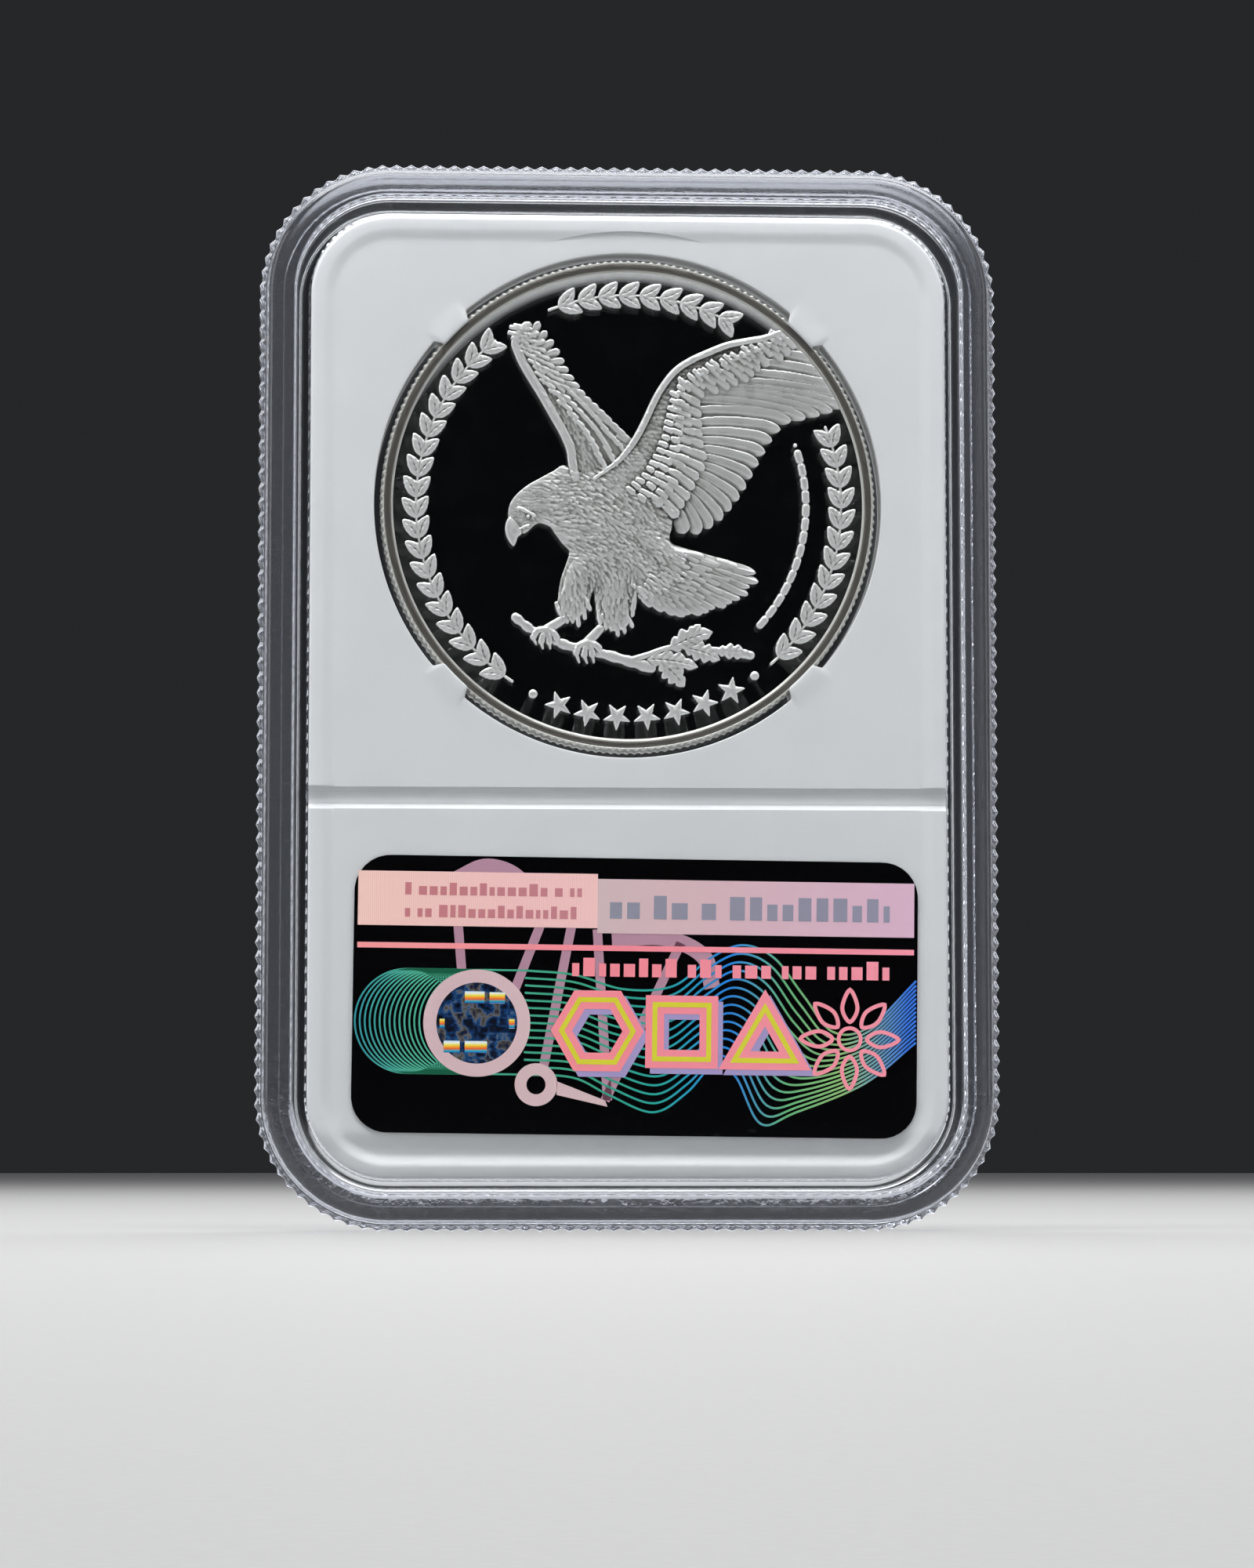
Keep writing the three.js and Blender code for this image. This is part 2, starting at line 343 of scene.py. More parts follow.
def along_line(points, share):
    """The point at a share of the way along a polyline's index range."""
    points = np.asarray(points, float)
    at = np.clip(share, 0, 1) * (len(points) - 1)
    i = int(min(at, len(points) - 2))
    return points[i] + (points[i + 1] - points[i]) * (at - i)


def even_shares(line, count):
    """Shares of a line's index range that are spaced evenly along it."""
    steps = np.concatenate([[0], np.cumsum(np.hypot(*np.diff(line, axis=0).T))])
    return np.interp(np.linspace(0, steps[-1], count), steps, np.linspace(0, 1, len(line)))


# ---- materials ----


class Nodes:
    """Adds nodes to a tree, with their settings and their inputs."""

    def __init__(self, tree):
        self.tree = tree

    def node(self, kind, inputs, **settings):
        made = self.tree.nodes.new(kind)
        for key, value in settings.items():
            setattr(made, key, value)
        for key, value in inputs.items():
            if isinstance(value, bpy.types.NodeSocket):
                self.tree.links.new(value, made.inputs[key])
            else:
                made.inputs[key].default_value = value
        return made

    def math(self, operation, *values):
        return self.node("ShaderNodeMath", dict(enumerate(values)), operation=operation).outputs[0]

    def mix(self, kind, a, b):
        inputs = {"Factor": 1.0, "A": a, "B": b}
        return self.node("ShaderNodeMix", inputs, data_type="RGBA", blend_type=kind).outputs["Result"]

    def ramp(self, fac, stops):
        made = self.node("ShaderNodeValToRGB", {"Fac": fac})
        while len(made.color_ramp.elements) < len(stops):
            made.color_ramp.elements.new(0.5)
        for element, (at, color) in zip(made.color_ramp.elements, stops):
            element.position, element.color = at, (*color, 1)
        return made.outputs["Color"]

    def between(self, fac, low, high, out_low, out_high):
        inputs = {"Value": fac, "From Min": low, "From Max": high, "To Min": out_low, "To Max": out_high}
        return self.node("ShaderNodeMapRange", inputs).outputs["Result"]


class Look(Nodes):
    """A Principled material that reads the object's own millimetres. tone is a noise and its
    two colours. grain is a noise, the range of it that counts, and the roughness from there to
    there. dents is a noise, a strength and a depth in millimetres. Each noise is its scale,
    its detail and, if need be, its roughness."""

    def __init__(self, name, color, tone=None, grain=None, dents=None, **inputs):
        self.material = bpy.data.materials.new(name)
        self.material.use_nodes = True
        super().__init__(self.material.node_tree)
        self.shader = self.tree.nodes["Principled BSDF"]
        self.shader.inputs["Base Color"].default_value = (*color, 1)
        for key, value in inputs.items():
            socket = key.replace("_", " ").title().replace("Ior", "IOR")
            self.shader.inputs[socket].default_value = value
        if tone:
            noise, dark, pale = tone
            self.drive(self.ramp(self.noise(*noise), [(0.3, dark), (0.7, pale)]), "Base Color")
        if grain:
            noise, counts, roughness = grain
            self.drive(self.between(self.noise(*noise), *counts, *roughness), "Roughness")
        if dents:
            noise, strength, depth = dents
            bump = {"Height": self.noise(*noise), "Strength": strength, "Distance": depth * MM}
            self.drive(self.node("ShaderNodeBump", bump).outputs["Normal"], "Normal")

    def drive(self, output, *sockets):
        for socket in sockets:
            self.tree.links.new(output, self.shader.inputs[socket])

    def millimetres(self, stretch=(1, 1, 1)):
        coords = self.node("ShaderNodeTexCoord", {}).outputs["Object"]
        inputs = {"Vector": coords, "Scale": [s / MM for s in stretch]}
        return self.node("ShaderNodeMapping", inputs).outputs["Vector"]

    def axis(self, letter):
        return self.node("ShaderNodeSeparateXYZ", {"Vector": self.millimetres()}).outputs[letter]

    def noise(self, scale, detail, roughness=0.5):
        inputs = {"Vector": self.millimetres(), "Scale": scale, "Detail": detail, "Roughness": roughness}
        return self.node("ShaderNodeTexNoise", inputs).outputs["Fac"]

    def glow_in_colour(self, color):
        """Gives foil its colour, and makes it glow a little in that colour: painted light, as foil is no
        lamp.
        """
        self.drive(color, "Base Color", "Emission Color")
        self.shader.inputs["Emission Strength"].default_value = FOIL_PAINTED_GLOW
        return self.material


# How much foil glows, as painted light, and how far its colours run on each side of the middle, in mm.
FOIL_PAINTED_GLOW = 0.13
FOIL_REACH = 0.5 / 0.022
# How far the lowest band of the disc starts below the disc's middle, in mm.
BAND_FOOT = 1.6


def clear_plastic(name, color, clear, grain, dents):
    return Look(name, color, grain=grain, dents=dents, transmission_weight=clear, ior=1.5).material


def silver(name, color):
    grain, dents = ((3.0, 3.0), (0.3, 0.7), (0.38, 0.5)), ((9.0, 3.0), 0.15, 0.01)
    return Look(name, color, grain=grain, dents=dents, metallic=1.0).material


def frost_with_painted_shade():
    """Frosted silver whose colour carries painted shade and painted highlight: darker in the creases of the
    relief and paler on its crests, as read from the relief's crease and crest attribute.
    """
    grain, dents = ((6.0, 2.0), (0.3, 0.7), (0.38, 0.5)), ((11.0, 3.0), 0.5, 0.03)
    look = Look("frost_with_painted_shade", (0.74, 0.735, 0.71), grain=grain, dents=dents, metallic=1.0)
    painted_light_and_shade = look.node("ShaderNodeAttribute", {}, attribute_name="painted_light_and_shade").outputs["Fac"]
    mottle = look.between(look.noise(1.2, 4.0), 0.3, 0.7, -0.05, 0.05)
    # Painted shade near black in the creases, painted highlight near white on the crests.
    stops = [
        (0.1, (0.09, 0.088, 0.083)), (0.38, (0.5, 0.495, 0.47)), (0.5, (0.86, 0.855, 0.83)),
        (0.68, (1.0, 0.995, 0.98)),
    ]
    look.drive(look.ramp(look.math("ADD", painted_light_and_shade, mottle), stops), "Base Color")
    return look.material


def film_black():
    inputs = {"roughness": 0.08, "specular_ior_level": 0.3}
    return Look("film_black", (0.002, 0.002, 0.0025), dents=((0.6, 2.0), 0.1, 0.02), **inputs).material


def foil(name, *stops, stripes=0.0):
    """Thin printed foil whose colour runs across the sticker, with a fine grating over it if
    asked. A stop is a place and a colour, and bare colours are spread evenly."""
    # Every foil glows a little in its own colour, as painted light.
    if len(stops[0]) == 3:
        stops = [(i / (len(stops) - 1), color) for i, color in enumerate(stops)]
    look = Look(name, stops[0][1], roughness=0.3)
    color = look.ramp(look.between(look.axis("X"), -FOIL_REACH, FOIL_REACH, 0, 1), stops)
    if stripes:
        inputs = {"Vector": look.millimetres(), "Scale": stripes, "Distortion": 0.6, "Detail": 1.0}
        wave = look.node("ShaderNodeTexWave", inputs, bands_direction="X").outputs["Fac"]
        paler = look.ramp(wave, [(0.2, (0.9, 0.88, 0.88)), (0.8, (1.0, 1.0, 1.0))])
        color = look.mix("MULTIPLY", color, paler)
    return look.glow_in_colour(color)


def rainbow_disc():
    """Square facets of a dark blue spectrum."""
    look = Look("rainbow_disc", (0.1, 0.3, 0.6), roughness=0.2)
    inputs = {"Vector": look.millimetres((1.0, 1.0, 1.3)), "Scale": 1.15, "Randomness": 0.55}
    cells = look.node("ShaderNodeTexVoronoi", inputs, distance="CHEBYCHEV").outputs["Distance"]
    tone = look.between(look.noise(0.9, 3.0), 0.3, 0.7, -0.35, 0.5)
    stops = [
        (0.0, (0.001, 0.002, 0.006)), (0.3, (0.002, 0.008, 0.03)), (0.48, (0.006, 0.035, 0.13)),
        (0.58, (0.02, 0.1, 0.25)), (0.66, (0.16, 0.16, 0.17)), (0.78, (0.07, 0.06, 0.05)),
        (0.9, (0.003, 0.012, 0.05)),
    ]
    look.drive(look.ramp(look.math("ADD", cells, tone), stops), "Base Color")
    return look.material


def rainbow_bands():
    """A spectrum that runs down each band of the disc, one band to a millimetre, glowing a little in its
    colours as painted light.
    """
    look = Look("rainbow_bands", (0.9, 0.8, 0.3), roughness=0.2)
    height = look.math("SUBTRACT", look.axis("Z"), float(on_film(DISC_AT)[1]) + BAND_FOOT)
    stops = [
        (0.0, (0.01, 0.08, 0.5)), (0.18, (0.02, 0.45, 0.5)), (0.32, (0.9, 0.12, 0.04)),
        (0.48, (1.0, 0.4, 0.03)), (0.64, (0.95, 0.85, 0.1)), (0.82, (0.9, 0.95, 0.9)),
        (1.0, (0.5, 0.75, 1.0)),
    ]
    return look.glow_in_colour(look.ramp(look.math("FRACT", height), stops))


def paper(name, color):
    """Paper, ink or a painted floor."""
    tone = ((2.5, 4.0), color, tuple(min(1.0, c * 1.05) for c in color))
    return Look(name, color, tone=tone, dents=((8.0, 4.0), 0.2, 0.01), roughness=0.6).material


CLEAR_GRAIN = ((1.3, 5.0, 0.65), (0.62, 0.78), (0.012, 0.16))
CLEAR = clear_plastic("clear_plastic", (0.955, 0.972, 0.985), 1.0, CLEAR_GRAIN, ((0.35, 2.0), 0.25, 0.05))
# The same plastic where it is handled: hazier, with a cool cast.
RIM_GRAIN = ((2.4, 5.0, 0.65), (0.52, 0.74), (0.01, 0.14))
CLEAR_RIM = clear_plastic("clear_plastic_rim", (0.9, 0.92, 0.97), 0.985, RIM_GRAIN, ((1.1, 4.0), 0.4, 0.05))
WHITE_TONE = ((0.12, 3.0), (0.735, 0.745, 0.755), (0.77, 0.775, 0.78))
WHITE_DENTS = ((14.0, 2.0), 0.25, 0.012)
WHITE = Look("white_plastic", (0.75, 0.755, 0.76), WHITE_TONE, dents=WHITE_DENTS, roughness=0.42).material
MIRROR_GRAIN = ((0.5, 4.0), (0.35, 0.75), (0.02, 0.06))
MIRROR = Look("mirror_silver", (0.8, 0.8, 0.79), grain=MIRROR_GRAIN, metallic=1.0).material
# The rim's top gets a much darker copy of the silver than the edge: painted shade.
RIM_PAINTED_DARK = silver("rim_silver_painted_dark", (0.2, 0.19, 0.17))
REEDED = silver("reeded_silver", (0.8, 0.79, 0.75))
FROST_WITH_PAINTED_SHADE = frost_with_painted_shade()


# ---- shells ----

shell_path = rounded_path(WIDTH, HEIGHT, CORNER, (0, MIDDLE), TEETH * STEPS_PER_TOOTH)
tooth_phase = np.arange(TEETH * STEPS_PER_TOOTH) / STEPS_PER_TOOTH * 2 * math.pi
tooth_bite = TOOTH_DEPTH * (0.5 - 0.5 * np.cos(tooth_phase)) ** 0.7

CAP_INSET = 7.0
POCKET_WALL = [
    (CAP_INSET, WINDOW_IN),
    (POCKET + 0.1, WINDOW_IN),
    (POCKET, WINDOW_IN - 0.1),
    (POCKET, SEAM + 0.1),
    (POCKET - 0.1, SEAM),
]


def band_profile():
    """The serrated band, from its seam edge out to the foot of the smooth wall."""
    chamfer = 0.12
    return [
        (chamfer, SEAM, 1.0),
        (0.0, SEAM + chamfer, 1.0),
        (0.0, SERRATED - 0.5, 1.0),
        (0.03, SERRATED - 0.28, 1.0, 0.4),
        (0.12, SERRATED - 0.12, 0.95, 0.9),
        (0.25, SERRATED - 0.02, 0.8, 1.3),
        (0.4, SERRATED, 0.3, 1.2),
        (SHOULDER - 0.12, SERRATED, 0.0),
        *arc_points((SHOULDER - 0.12, SERRATED + 0.12), 0.12, -60, 0, 3),
    ]


def rear_shell():
    top = HALF_THICKNESS
    lip, foot = 0.35, 0.25
    outer = [
        *band_profile(),
        *arc_points((SHOULDER + ROUNDING, top - ROUNDING), ROUNDING, 180, 90, 10),
        *arc_points((RIM_INNER - lip, top - lip), lip, 90, 0, 6),
        *arc_points((RIM_INNER + foot, WINDOW_OUT + foot), foot, 180, 270, 5),
        (CAP_INSET, WINDOW_OUT),
    ]
    groove_in, groove_out = TONGUE + TONGUE_WIDTH + 0.05, TONGUE - 0.05
    inner = [
        *POCKET_WALL,
        (groove_in, SEAM),
        (groove_in, TONGUE_HEIGHT + 0.1),
        (groove_out, TONGUE_HEIGHT + 0.1),
        (groove_out, SEAM),
    ]
    return shell_mesh("rear_shell", inner + outer, rear_face)


def front_shell():
    top = HALF_THICKNESS
    lip, foot = 0.3, 0.25
    ring_in = NEST_INSET + NEST_WIDTH
    outer = [
        *band_profile(),
        *arc_points((SHOULDER + ROUNDING, NEST_SHOULDER - ROUNDING), ROUNDING, 140, 90, 6),
        *arc_points((NEST_INSET - foot, NEST_SHOULDER + foot), foot, 270, 360, 4),
        *arc_points((NEST_INSET + lip, top - lip), lip, 180, 90, 5),
        *arc_points((ring_in - lip, top - lip), lip, 90, 0, 5),
        *arc_points((ring_in + foot, WINDOW_OUT + foot), foot, 180, 270, 5),
        (CAP_INSET, WINDOW_OUT),
    ]
    tongue_in = TONGUE + TONGUE_WIDTH
    inner = [
        *POCKET_WALL,
        (tongue_in, SEAM),
        (tongue_in, 0.1 - TONGUE_HEIGHT),
        (tongue_in - 0.1, -TONGUE_HEIGHT),
        (TONGUE + 0.1, -TONGUE_HEIGHT),
        (TONGUE, 0.1 - TONGUE_HEIGHT),
        (TONGUE, SEAM),
    ]
    return shell_mesh("front_shell", inner + outer, front_face)


def shell_mesh(name, profile, place):
    """One shell: its profile runs from the inside of the window out to the seam, round the
    serrated edge and back over the rim to the outside of the window. The rib is joined on."""
    builder = Builder()
    loft(builder, shell_path, profile, tooth_bite)
    data = builder.mesh(name, place)
    rib, half = Builder(), WIDTH / 2 - POCKET + 0.2
    outline = rectangle(-half, RIB_V - RIB_HALF, half, RIB_V + RIB_HALF)
    prism(rib, outline, WINDOW_IN - 0.5, WINDOW_IN + 0.2)
    joined = combine(data, rib.mesh("rib", place), "UNION")
    finish_mesh(joined, 35.0)
    centres = np.zeros(len(joined.polygons) * 3)
    joined.polygons.foreach_get("center", centres)
    u, _, v = np.abs(centres.reshape(-1, 3).T / MM - np.array([[0], [0], [MIDDLE]]))
    over = np.maximum(u - WIDTH / 2 + CORNER, 0), np.maximum(v - HEIGHT / 2 + CORNER, 0)
    handled = np.hypot(*over) > CORNER - RIM_INNER - 0.3
    joined.polygons.foreach_set("material_index", handled.astype(np.int32))
    return joined


# ---- white insert ----


def insert_body():
    """The moulded plate with its raised border, and a round opening for the coin's cup."""
    top, edge = BORDER_TOP, 0.3
    half = [
        *arc_points((edge, top - edge), edge, 180, 90, 6),
        (BORDER_IN, top),
        *[(BORDER_IN + t * COVE, top - (top - PANEL) * smooth_step(t)) for t in np.linspace(0.1, 1, 10)],
        *[(inset, PANEL) for inset in (2.4, 2.7, 3.0, 3.3, 3.6, FLAT)],
    ]
    profile = [(i, -h) for i, h in reversed(half)] + half
    path = rounded_path(INSERT_WIDTH, INSERT_HEIGHT, INSERT_CORNER, (0, INSERT_MIDDLE), INSERT_STEPS)
    builder = Builder()
    loft(builder, path, profile, sag=insert_sag)
    data = builder.mesh("insert")
    for tool in insert_tools():
        data = combine(data, tool, "DIFFERENCE")
    finish_mesh(data, 30.0)
    return data


def insert_sag(inset, v):
    """How far the rear face falls away below the hologram: the panel most, then the border."""
    low = smooth_step((INSERT_LOW[2] + FLAT - v) / 2.2)
    border = 0.25 + 0.3 * np.clip(1 - inset / BORDER_IN, 0, 1)
    return low * (border + (0.6 - border) * smooth_step((inset - BORDER_IN) / COVE))


def insert_tools():
    """The cup's opening, the two rib grooves and the recess of the grade label."""
    cup, recess = Builder(), Builder()
    prism(cup, circle_path(CUP, (0, COIN_V), CUP_STEPS)[0].tolist(), -3, 3)
    yield cup.mesh("cup")
    for place in (rear_face, front_face):
        yield groove_tool(place)
    width, height, corner = CARD_SIZE
    points, _ = rounded_path(width + 0.5, height + 0.5, corner + 0.2, (0, CARD_V), CARD_STEPS)
    prism(recess, points.tolist(), CARD_LOW[1] - 0.05, 3)
    yield recess.mesh("recess", front_face)


def groove_tool(place):
    """A bar with soft flanks, deeper than the rib that sits in the groove."""
    floor, half, slope, rise = 1.2, 0.5, 0.45, PANEL + 0.02 - 1.2
    flank = [(half + slope * t, floor + rise * float(smooth_step(t))) for t in np.linspace(0, 1, 9)]
    flank.append((half + slope, 2.5))
    section = [(RIB_V - x, h) for x, h in reversed(flank)] + [(RIB_V + x, h) for x, h in flank]
    builder = Builder()
    reach = INSERT_WIDTH / 2 + 1
    span(builder, [[(u, v, h) for v, h in section] for u in (-reach, reach)])
    return builder.mesh("groove", place)


def coin_cup(builder, side):
    """The wall round the coin on one side: windows onto its edge, and four prongs whose tips
    bend over its rim."""
    turn = np.arange(CUP_STEPS) / CUP_STEPS * 2 * math.pi
    off = np.abs((np.degrees(turn) - 45 + 45) % 90 - 45)
    prong = 1 - smooth_step((off - 3.7) / 1.5)
    wall = WINDOW_R - prong * (WINDOW_R - SEAT_R)
    tip = WINDOW_R - prong * (WINDOW_R - LIP_R)
    top = PANEL + 0.17 * prong
    fillet = 0.1 + 0.1 * prong
    rings = [(wall, np.zeros(CUP_STEPS)), (wall, np.full(CUP_STEPS, COIN_TOP + 0.01))]
    rings.append(((wall + tip) / 2, np.full(CUP_STEPS, COIN_TOP + 0.03)))
    for angle in np.radians(np.linspace(200, 90, 7)):
        rings.append((tip + fillet + fillet * math.cos(angle), top - fillet + fillet * math.sin(angle)))
    rings[2] = (rings[2][0], np.minimum(rings[2][1], rings[3][1] - 0.002))
    start = tip + fillet
    for share in np.linspace(0.12, 1, 9):
        radius = start + (CUP - start) * share
        rings.append((radius, PANEL + (top - PANEL) * (1 - smooth_step(share * 1.15))))
    grid = np.zeros((len(rings), CUP_STEPS, 3))
    for i, (radius, level) in enumerate(rings):
        grid[i, :, 0] = radius * np.cos(turn)
        grid[i, :, 1] = COIN_V + radius * np.sin(turn)
        grid[i, :, 2] = side * level
    faces = grid_faces(len(rings), CUP_STEPS, wrap=True)
    builder.add(grid, faces if side > 0 else [f[::-1] for f in faces])


def insert_mesh():
    """The plate and the cup's two walls, as one mesh."""
    body = insert_body()
    cup = Builder()
    for side in (1, -1):
        coin_cup(cup, side)
    work = bmesh.new()
    for part in (body, cup.mesh("cup_ring")):
        work.from_mesh(part)
    work.to_mesh(body)
    work.free()
    shade(body, 30.0)
    return body


# ---- coin ----


def coin_blank():
    """The struck disc: mirror fields, raised rims and a reeded edge."""
    steps = 8
    path = circle_path(COIN_R, (0, COIN_V), REEDS * steps)
    phase = np.arange(REEDS * steps) / steps * 2 * math.pi
    reeds = REED_DEPTH * (0.5 - 0.5 * np.cos(phase)) ** 0.8
    inner = COIN_R - FIELD_R
    climb = COIN_TOP - 0.03 - FIELD
    half = [
        (inner + 1.5, FIELD),
        (inner + 0.02, FIELD),
        *[(inner - 0.22 * t, FIELD + climb * smooth_step(t)) for t in np.linspace(0, 1, 5)[1:]],
        (inner - 0.32, COIN_TOP),
        (0.42, COIN_TOP),
        (0.34, COIN_TOP - 0.04),
        (0.27, COIN_TOP - 0.01, 0.3),
        (0.18, COIN_TOP - 0.02, 0.7, 0.5),
        (0.08, COIN_TOP - 0.1, 1.0, 0.5),
        (0.0, COIN_TOP - 0.3, 1.0),
        (0.0, COIN_TOP - 0.5, 1.0),
    ]
    profile = half + [(p[0], -p[1], *p[2:3], *(-d for d in p[3:])) for p in reversed(half)]
    builder = Builder()

    def band(inset):
        if inset > inner + 0.01:
            return 0
        return 1 if 0.33 < inset < inner - 0.18 else 2

    loft(builder, path, profile, reeds, look_of=band)
    return builder.mesh("coin", sharp=50.0)


class Relief:
    """A height field over the coin's field, in coin millimetres, on which shapes are raised."""

    SKIRT = 2.2
    REACH = 19

    def __init__(self, pitch):
        self.xs = self.ys = np.arange(-self.REACH, self.REACH + pitch, pitch)
        self.x, self.y = np.meshgrid(self.xs, self.ys, indexing="ij")
        self.h = np.full(self.x.shape, -1.0)
        self.tufts = np.zeros(self.x.shape)

    def area(self, low, high):
        i = np.searchsorted(self.xs, (low[0], high[0]))
        j = np.searchsorted(self.ys, (low[1], high[1]))
        return slice(*i), slice(*j)

    def lift(self, area, heights):
        np.maximum(self.h[area], heights, out=self.h[area])

    def strip(self, root, tip, half, bend=0.0, margin=0.3):
        """Share along and millimetres across a bent strip, over the area that it covers."""
        root, tip = np.array(root, float), np.array(tip, float)
        length = float(np.hypot(*(tip - root)))
        along = (tip - root) / length
        reach = half + abs(bend) * length + margin
        area = self.area(np.minimum(root, tip) - reach, np.maximum(root, tip) + reach)
        x, y = self.x[area] - root[0], self.y[area] - root[1]
        share = (x * along[0] + y * along[1]) / length
        across = y * along[0] - x * along[1] - bend * length * 4 * share * (1 - share)
        return area, share, across, length

    def flank(self, share, across, length, width):
        """How far the skirt has fallen past a strip's outline, and the share across the strip."""
        past = np.maximum(np.maximum(share - 1, -share), 0) * length
        over = np.hypot(np.maximum(np.abs(across) - width, 0), past)
        return over * self.SKIRT, np.clip(across / np.maximum(width, 0.02), -1, 1)

    def feather(self, root, tip, half, base, rise, bend=0.0, tilt=0.0, drop=0.0, shaft=0.35):
        """A vaned feather: domed across, with a shaft, a rounded tip and one edge tilted up."""
        area, share, across, length = self.strip(root, tip, half, bend)
        t = np.clip(share, 0, 1)
        close = np.clip((t - 0.8) / 0.2, 0, 1)
        width = half * (0.7 + 0.3 * smooth_step(t / 0.5)) * np.sqrt(1 - close**2)
        fall, q = self.flank(share, across, length, width)
        top = base - drop * t + rise * (1 - q * q) + tilt * q + shaft * rise * np.exp(-((across / 0.06) ** 2))
        self.lift(area, top - fall)

    def leaf(self, root, tip, half, base, rise, bend=0.0, lobes=0, vein=0.5):
        """A leaf with a sunk midrib and, if asked, lobed edges."""
        area, share, across, length = self.strip(root, tip, half * 1.2, bend)
        t = np.clip(share, 0, 1)
        width = half * np.sin(math.pi * np.clip(t, 0.02, 1) ** 0.85) ** 0.75
        if lobes:
            width = width * (0.72 + 0.42 * np.abs(np.sin(lobes * math.pi * t)) ** 1.2)
        fall, q = self.flank(share, across, length, width)
        ribs = 0.12 * rise * np.sin((t * length - np.abs(across) * 0.9) * 2 * math.pi / 0.55)
        top = base + rise * np.sqrt(1 - 0.8 * q * q) - vein * rise * np.exp(-((across / 0.07) ** 2)) + ribs
        self.lift(area, top - fall)

    def limb(self, points, radii, base, rise):
        """A round-topped ridge along a line. Its radius, base and rise may each vary along it."""
        points = np.asarray(points, float)
        radii = np.broadcast_to(radii, len(points))
        bases, rises = (np.broadcast_to(v, len(points)) for v in (base, rise))
        for a, b, ra, rb, base, rise in zip(points, points[1:], radii, radii[1:], bases, rises):
            length = max(float(np.hypot(*(b - a))), 1e-6)
            reach = max(ra, rb) + 0.3
            area = self.area(np.minimum(a, b) - reach, np.maximum(a, b) + reach)
            x, y, way = self.x[area] - a[0], self.y[area] - a[1], b - a
            t = np.clip((x * way[0] + y * way[1]) / length**2, 0, 1)
            away = np.hypot(x - t * way[0], y - t * way[1])
            radius = ra + (rb - ra) * t
            q = np.clip(away / radius, 0, 1)
            self.lift(area, base + rise * np.sqrt(1 - q * q) - np.maximum(away - radius, 0) * self.SKIRT)

    def bead(self, centre, radius, base, rise):
        self.limb([centre, np.array(centre) + (0.01, 0)], radius, base, rise)

    def depth(self, outline):
        """How far each place is inside a closed outline, negative outside."""
        outline = np.asarray(outline, float)
        area = self.area(outline.min(0) - 0.4, outline.max(0) + 0.4)
        x, y = self.x[area], self.y[area]
        best, inside = np.full(x.shape, np.inf), np.zeros(x.shape, bool)
        for (ax, ay), (bx, by) in zip(outline, np.roll(outline, -1, axis=0)):
            ex, ey = bx - ax, by - ay
            t = np.clip(((x - ax) * ex + (y - ay) * ey) / (ex * ex + ey * ey + 1e-12), 0, 1)
            best = np.minimum(best, np.hypot(x - ax - t * ex, y - ay - t * ey))
            if ey:
                inside ^= ((ay > y) != (by > y)) & (x < ex * (y - ay) / ey + ax)
        return area, np.where(inside, best, -best)

    def dome(self, outline, base, rise, soft):
        """A cushion over a closed outline, which rises from its edge over a soft distance."""
        area, depth = self.depth(outline)
        inside = np.maximum(depth, 0)
        self.lift(area, base + rise * (1 - np.exp(-inside / soft)) + np.minimum(depth, 0) * self.SKIRT)

    def tuft(self, root, tip, half, height):
        """A small scale of plumage, added on top of what is under it."""
        area, share, across, _ = self.strip(root, tip, half, margin=0.05)
        q = np.clip(1 - (across / half) ** 2, 0, 1)
        t = np.clip(share, 0, 1)
        profile = height * q * t**0.8 * ((share > 0) & (share < 1)) * np.clip((1 - share) * 6, 0, 1)
        np.maximum(self.tufts[area], profile, out=self.tufts[area])

    def mesh(self, name, place, level, limit=FIELD_R):
        """The raised part as a mesh, with its lowest edge just under the coin's field."""
        under = -0.05
        heights = np.where(self.h > -0.02, self.h + self.tufts, self.h)
        heights[np.hypot(self.x, self.y) > limit] = under
        heights = np.clip(heights, under, COIN_TOP - 0.02 - level)
        high = heights > under
        cells = high[:-1, :-1] | high[1:, :-1] | high[:-1, 1:] | high[1:, 1:]
        used = np.zeros(high.shape, bool)
        for di in (0, 1):
            for dj in (0, 1):
                used[di : high.shape[0] - 1 + di, dj : high.shape[1] - 1 + dj] |= cells
        number = np.full(high.shape, -1)
        number[used] = np.arange(int(used.sum()))
        points = np.stack([self.x[used], self.y[used] + COIN_V, heights[used] + level], -1)
        i, j = np.nonzero(cells)
        faces = np.stack([number[i, j], number[i + 1, j], number[i + 1, j + 1], number[i, j + 1]], -1)
        if place is front_face:
            faces = faces[:, ::-1]
        data = bpy.data.meshes.new(name)
        data.from_pydata(place(points).tolist(), [], faces.tolist())
        # The crease and crest values that paint shade and highlight into the frost's colour.
        painted_light_and_shade = data.attributes.new("painted_light_and_shade", "FLOAT", "POINT")
        painted_light_and_shade.data.foreach_set("value", self.ridges(heights)[used].astype(np.float32))
        data.shade_smooth()
        return data

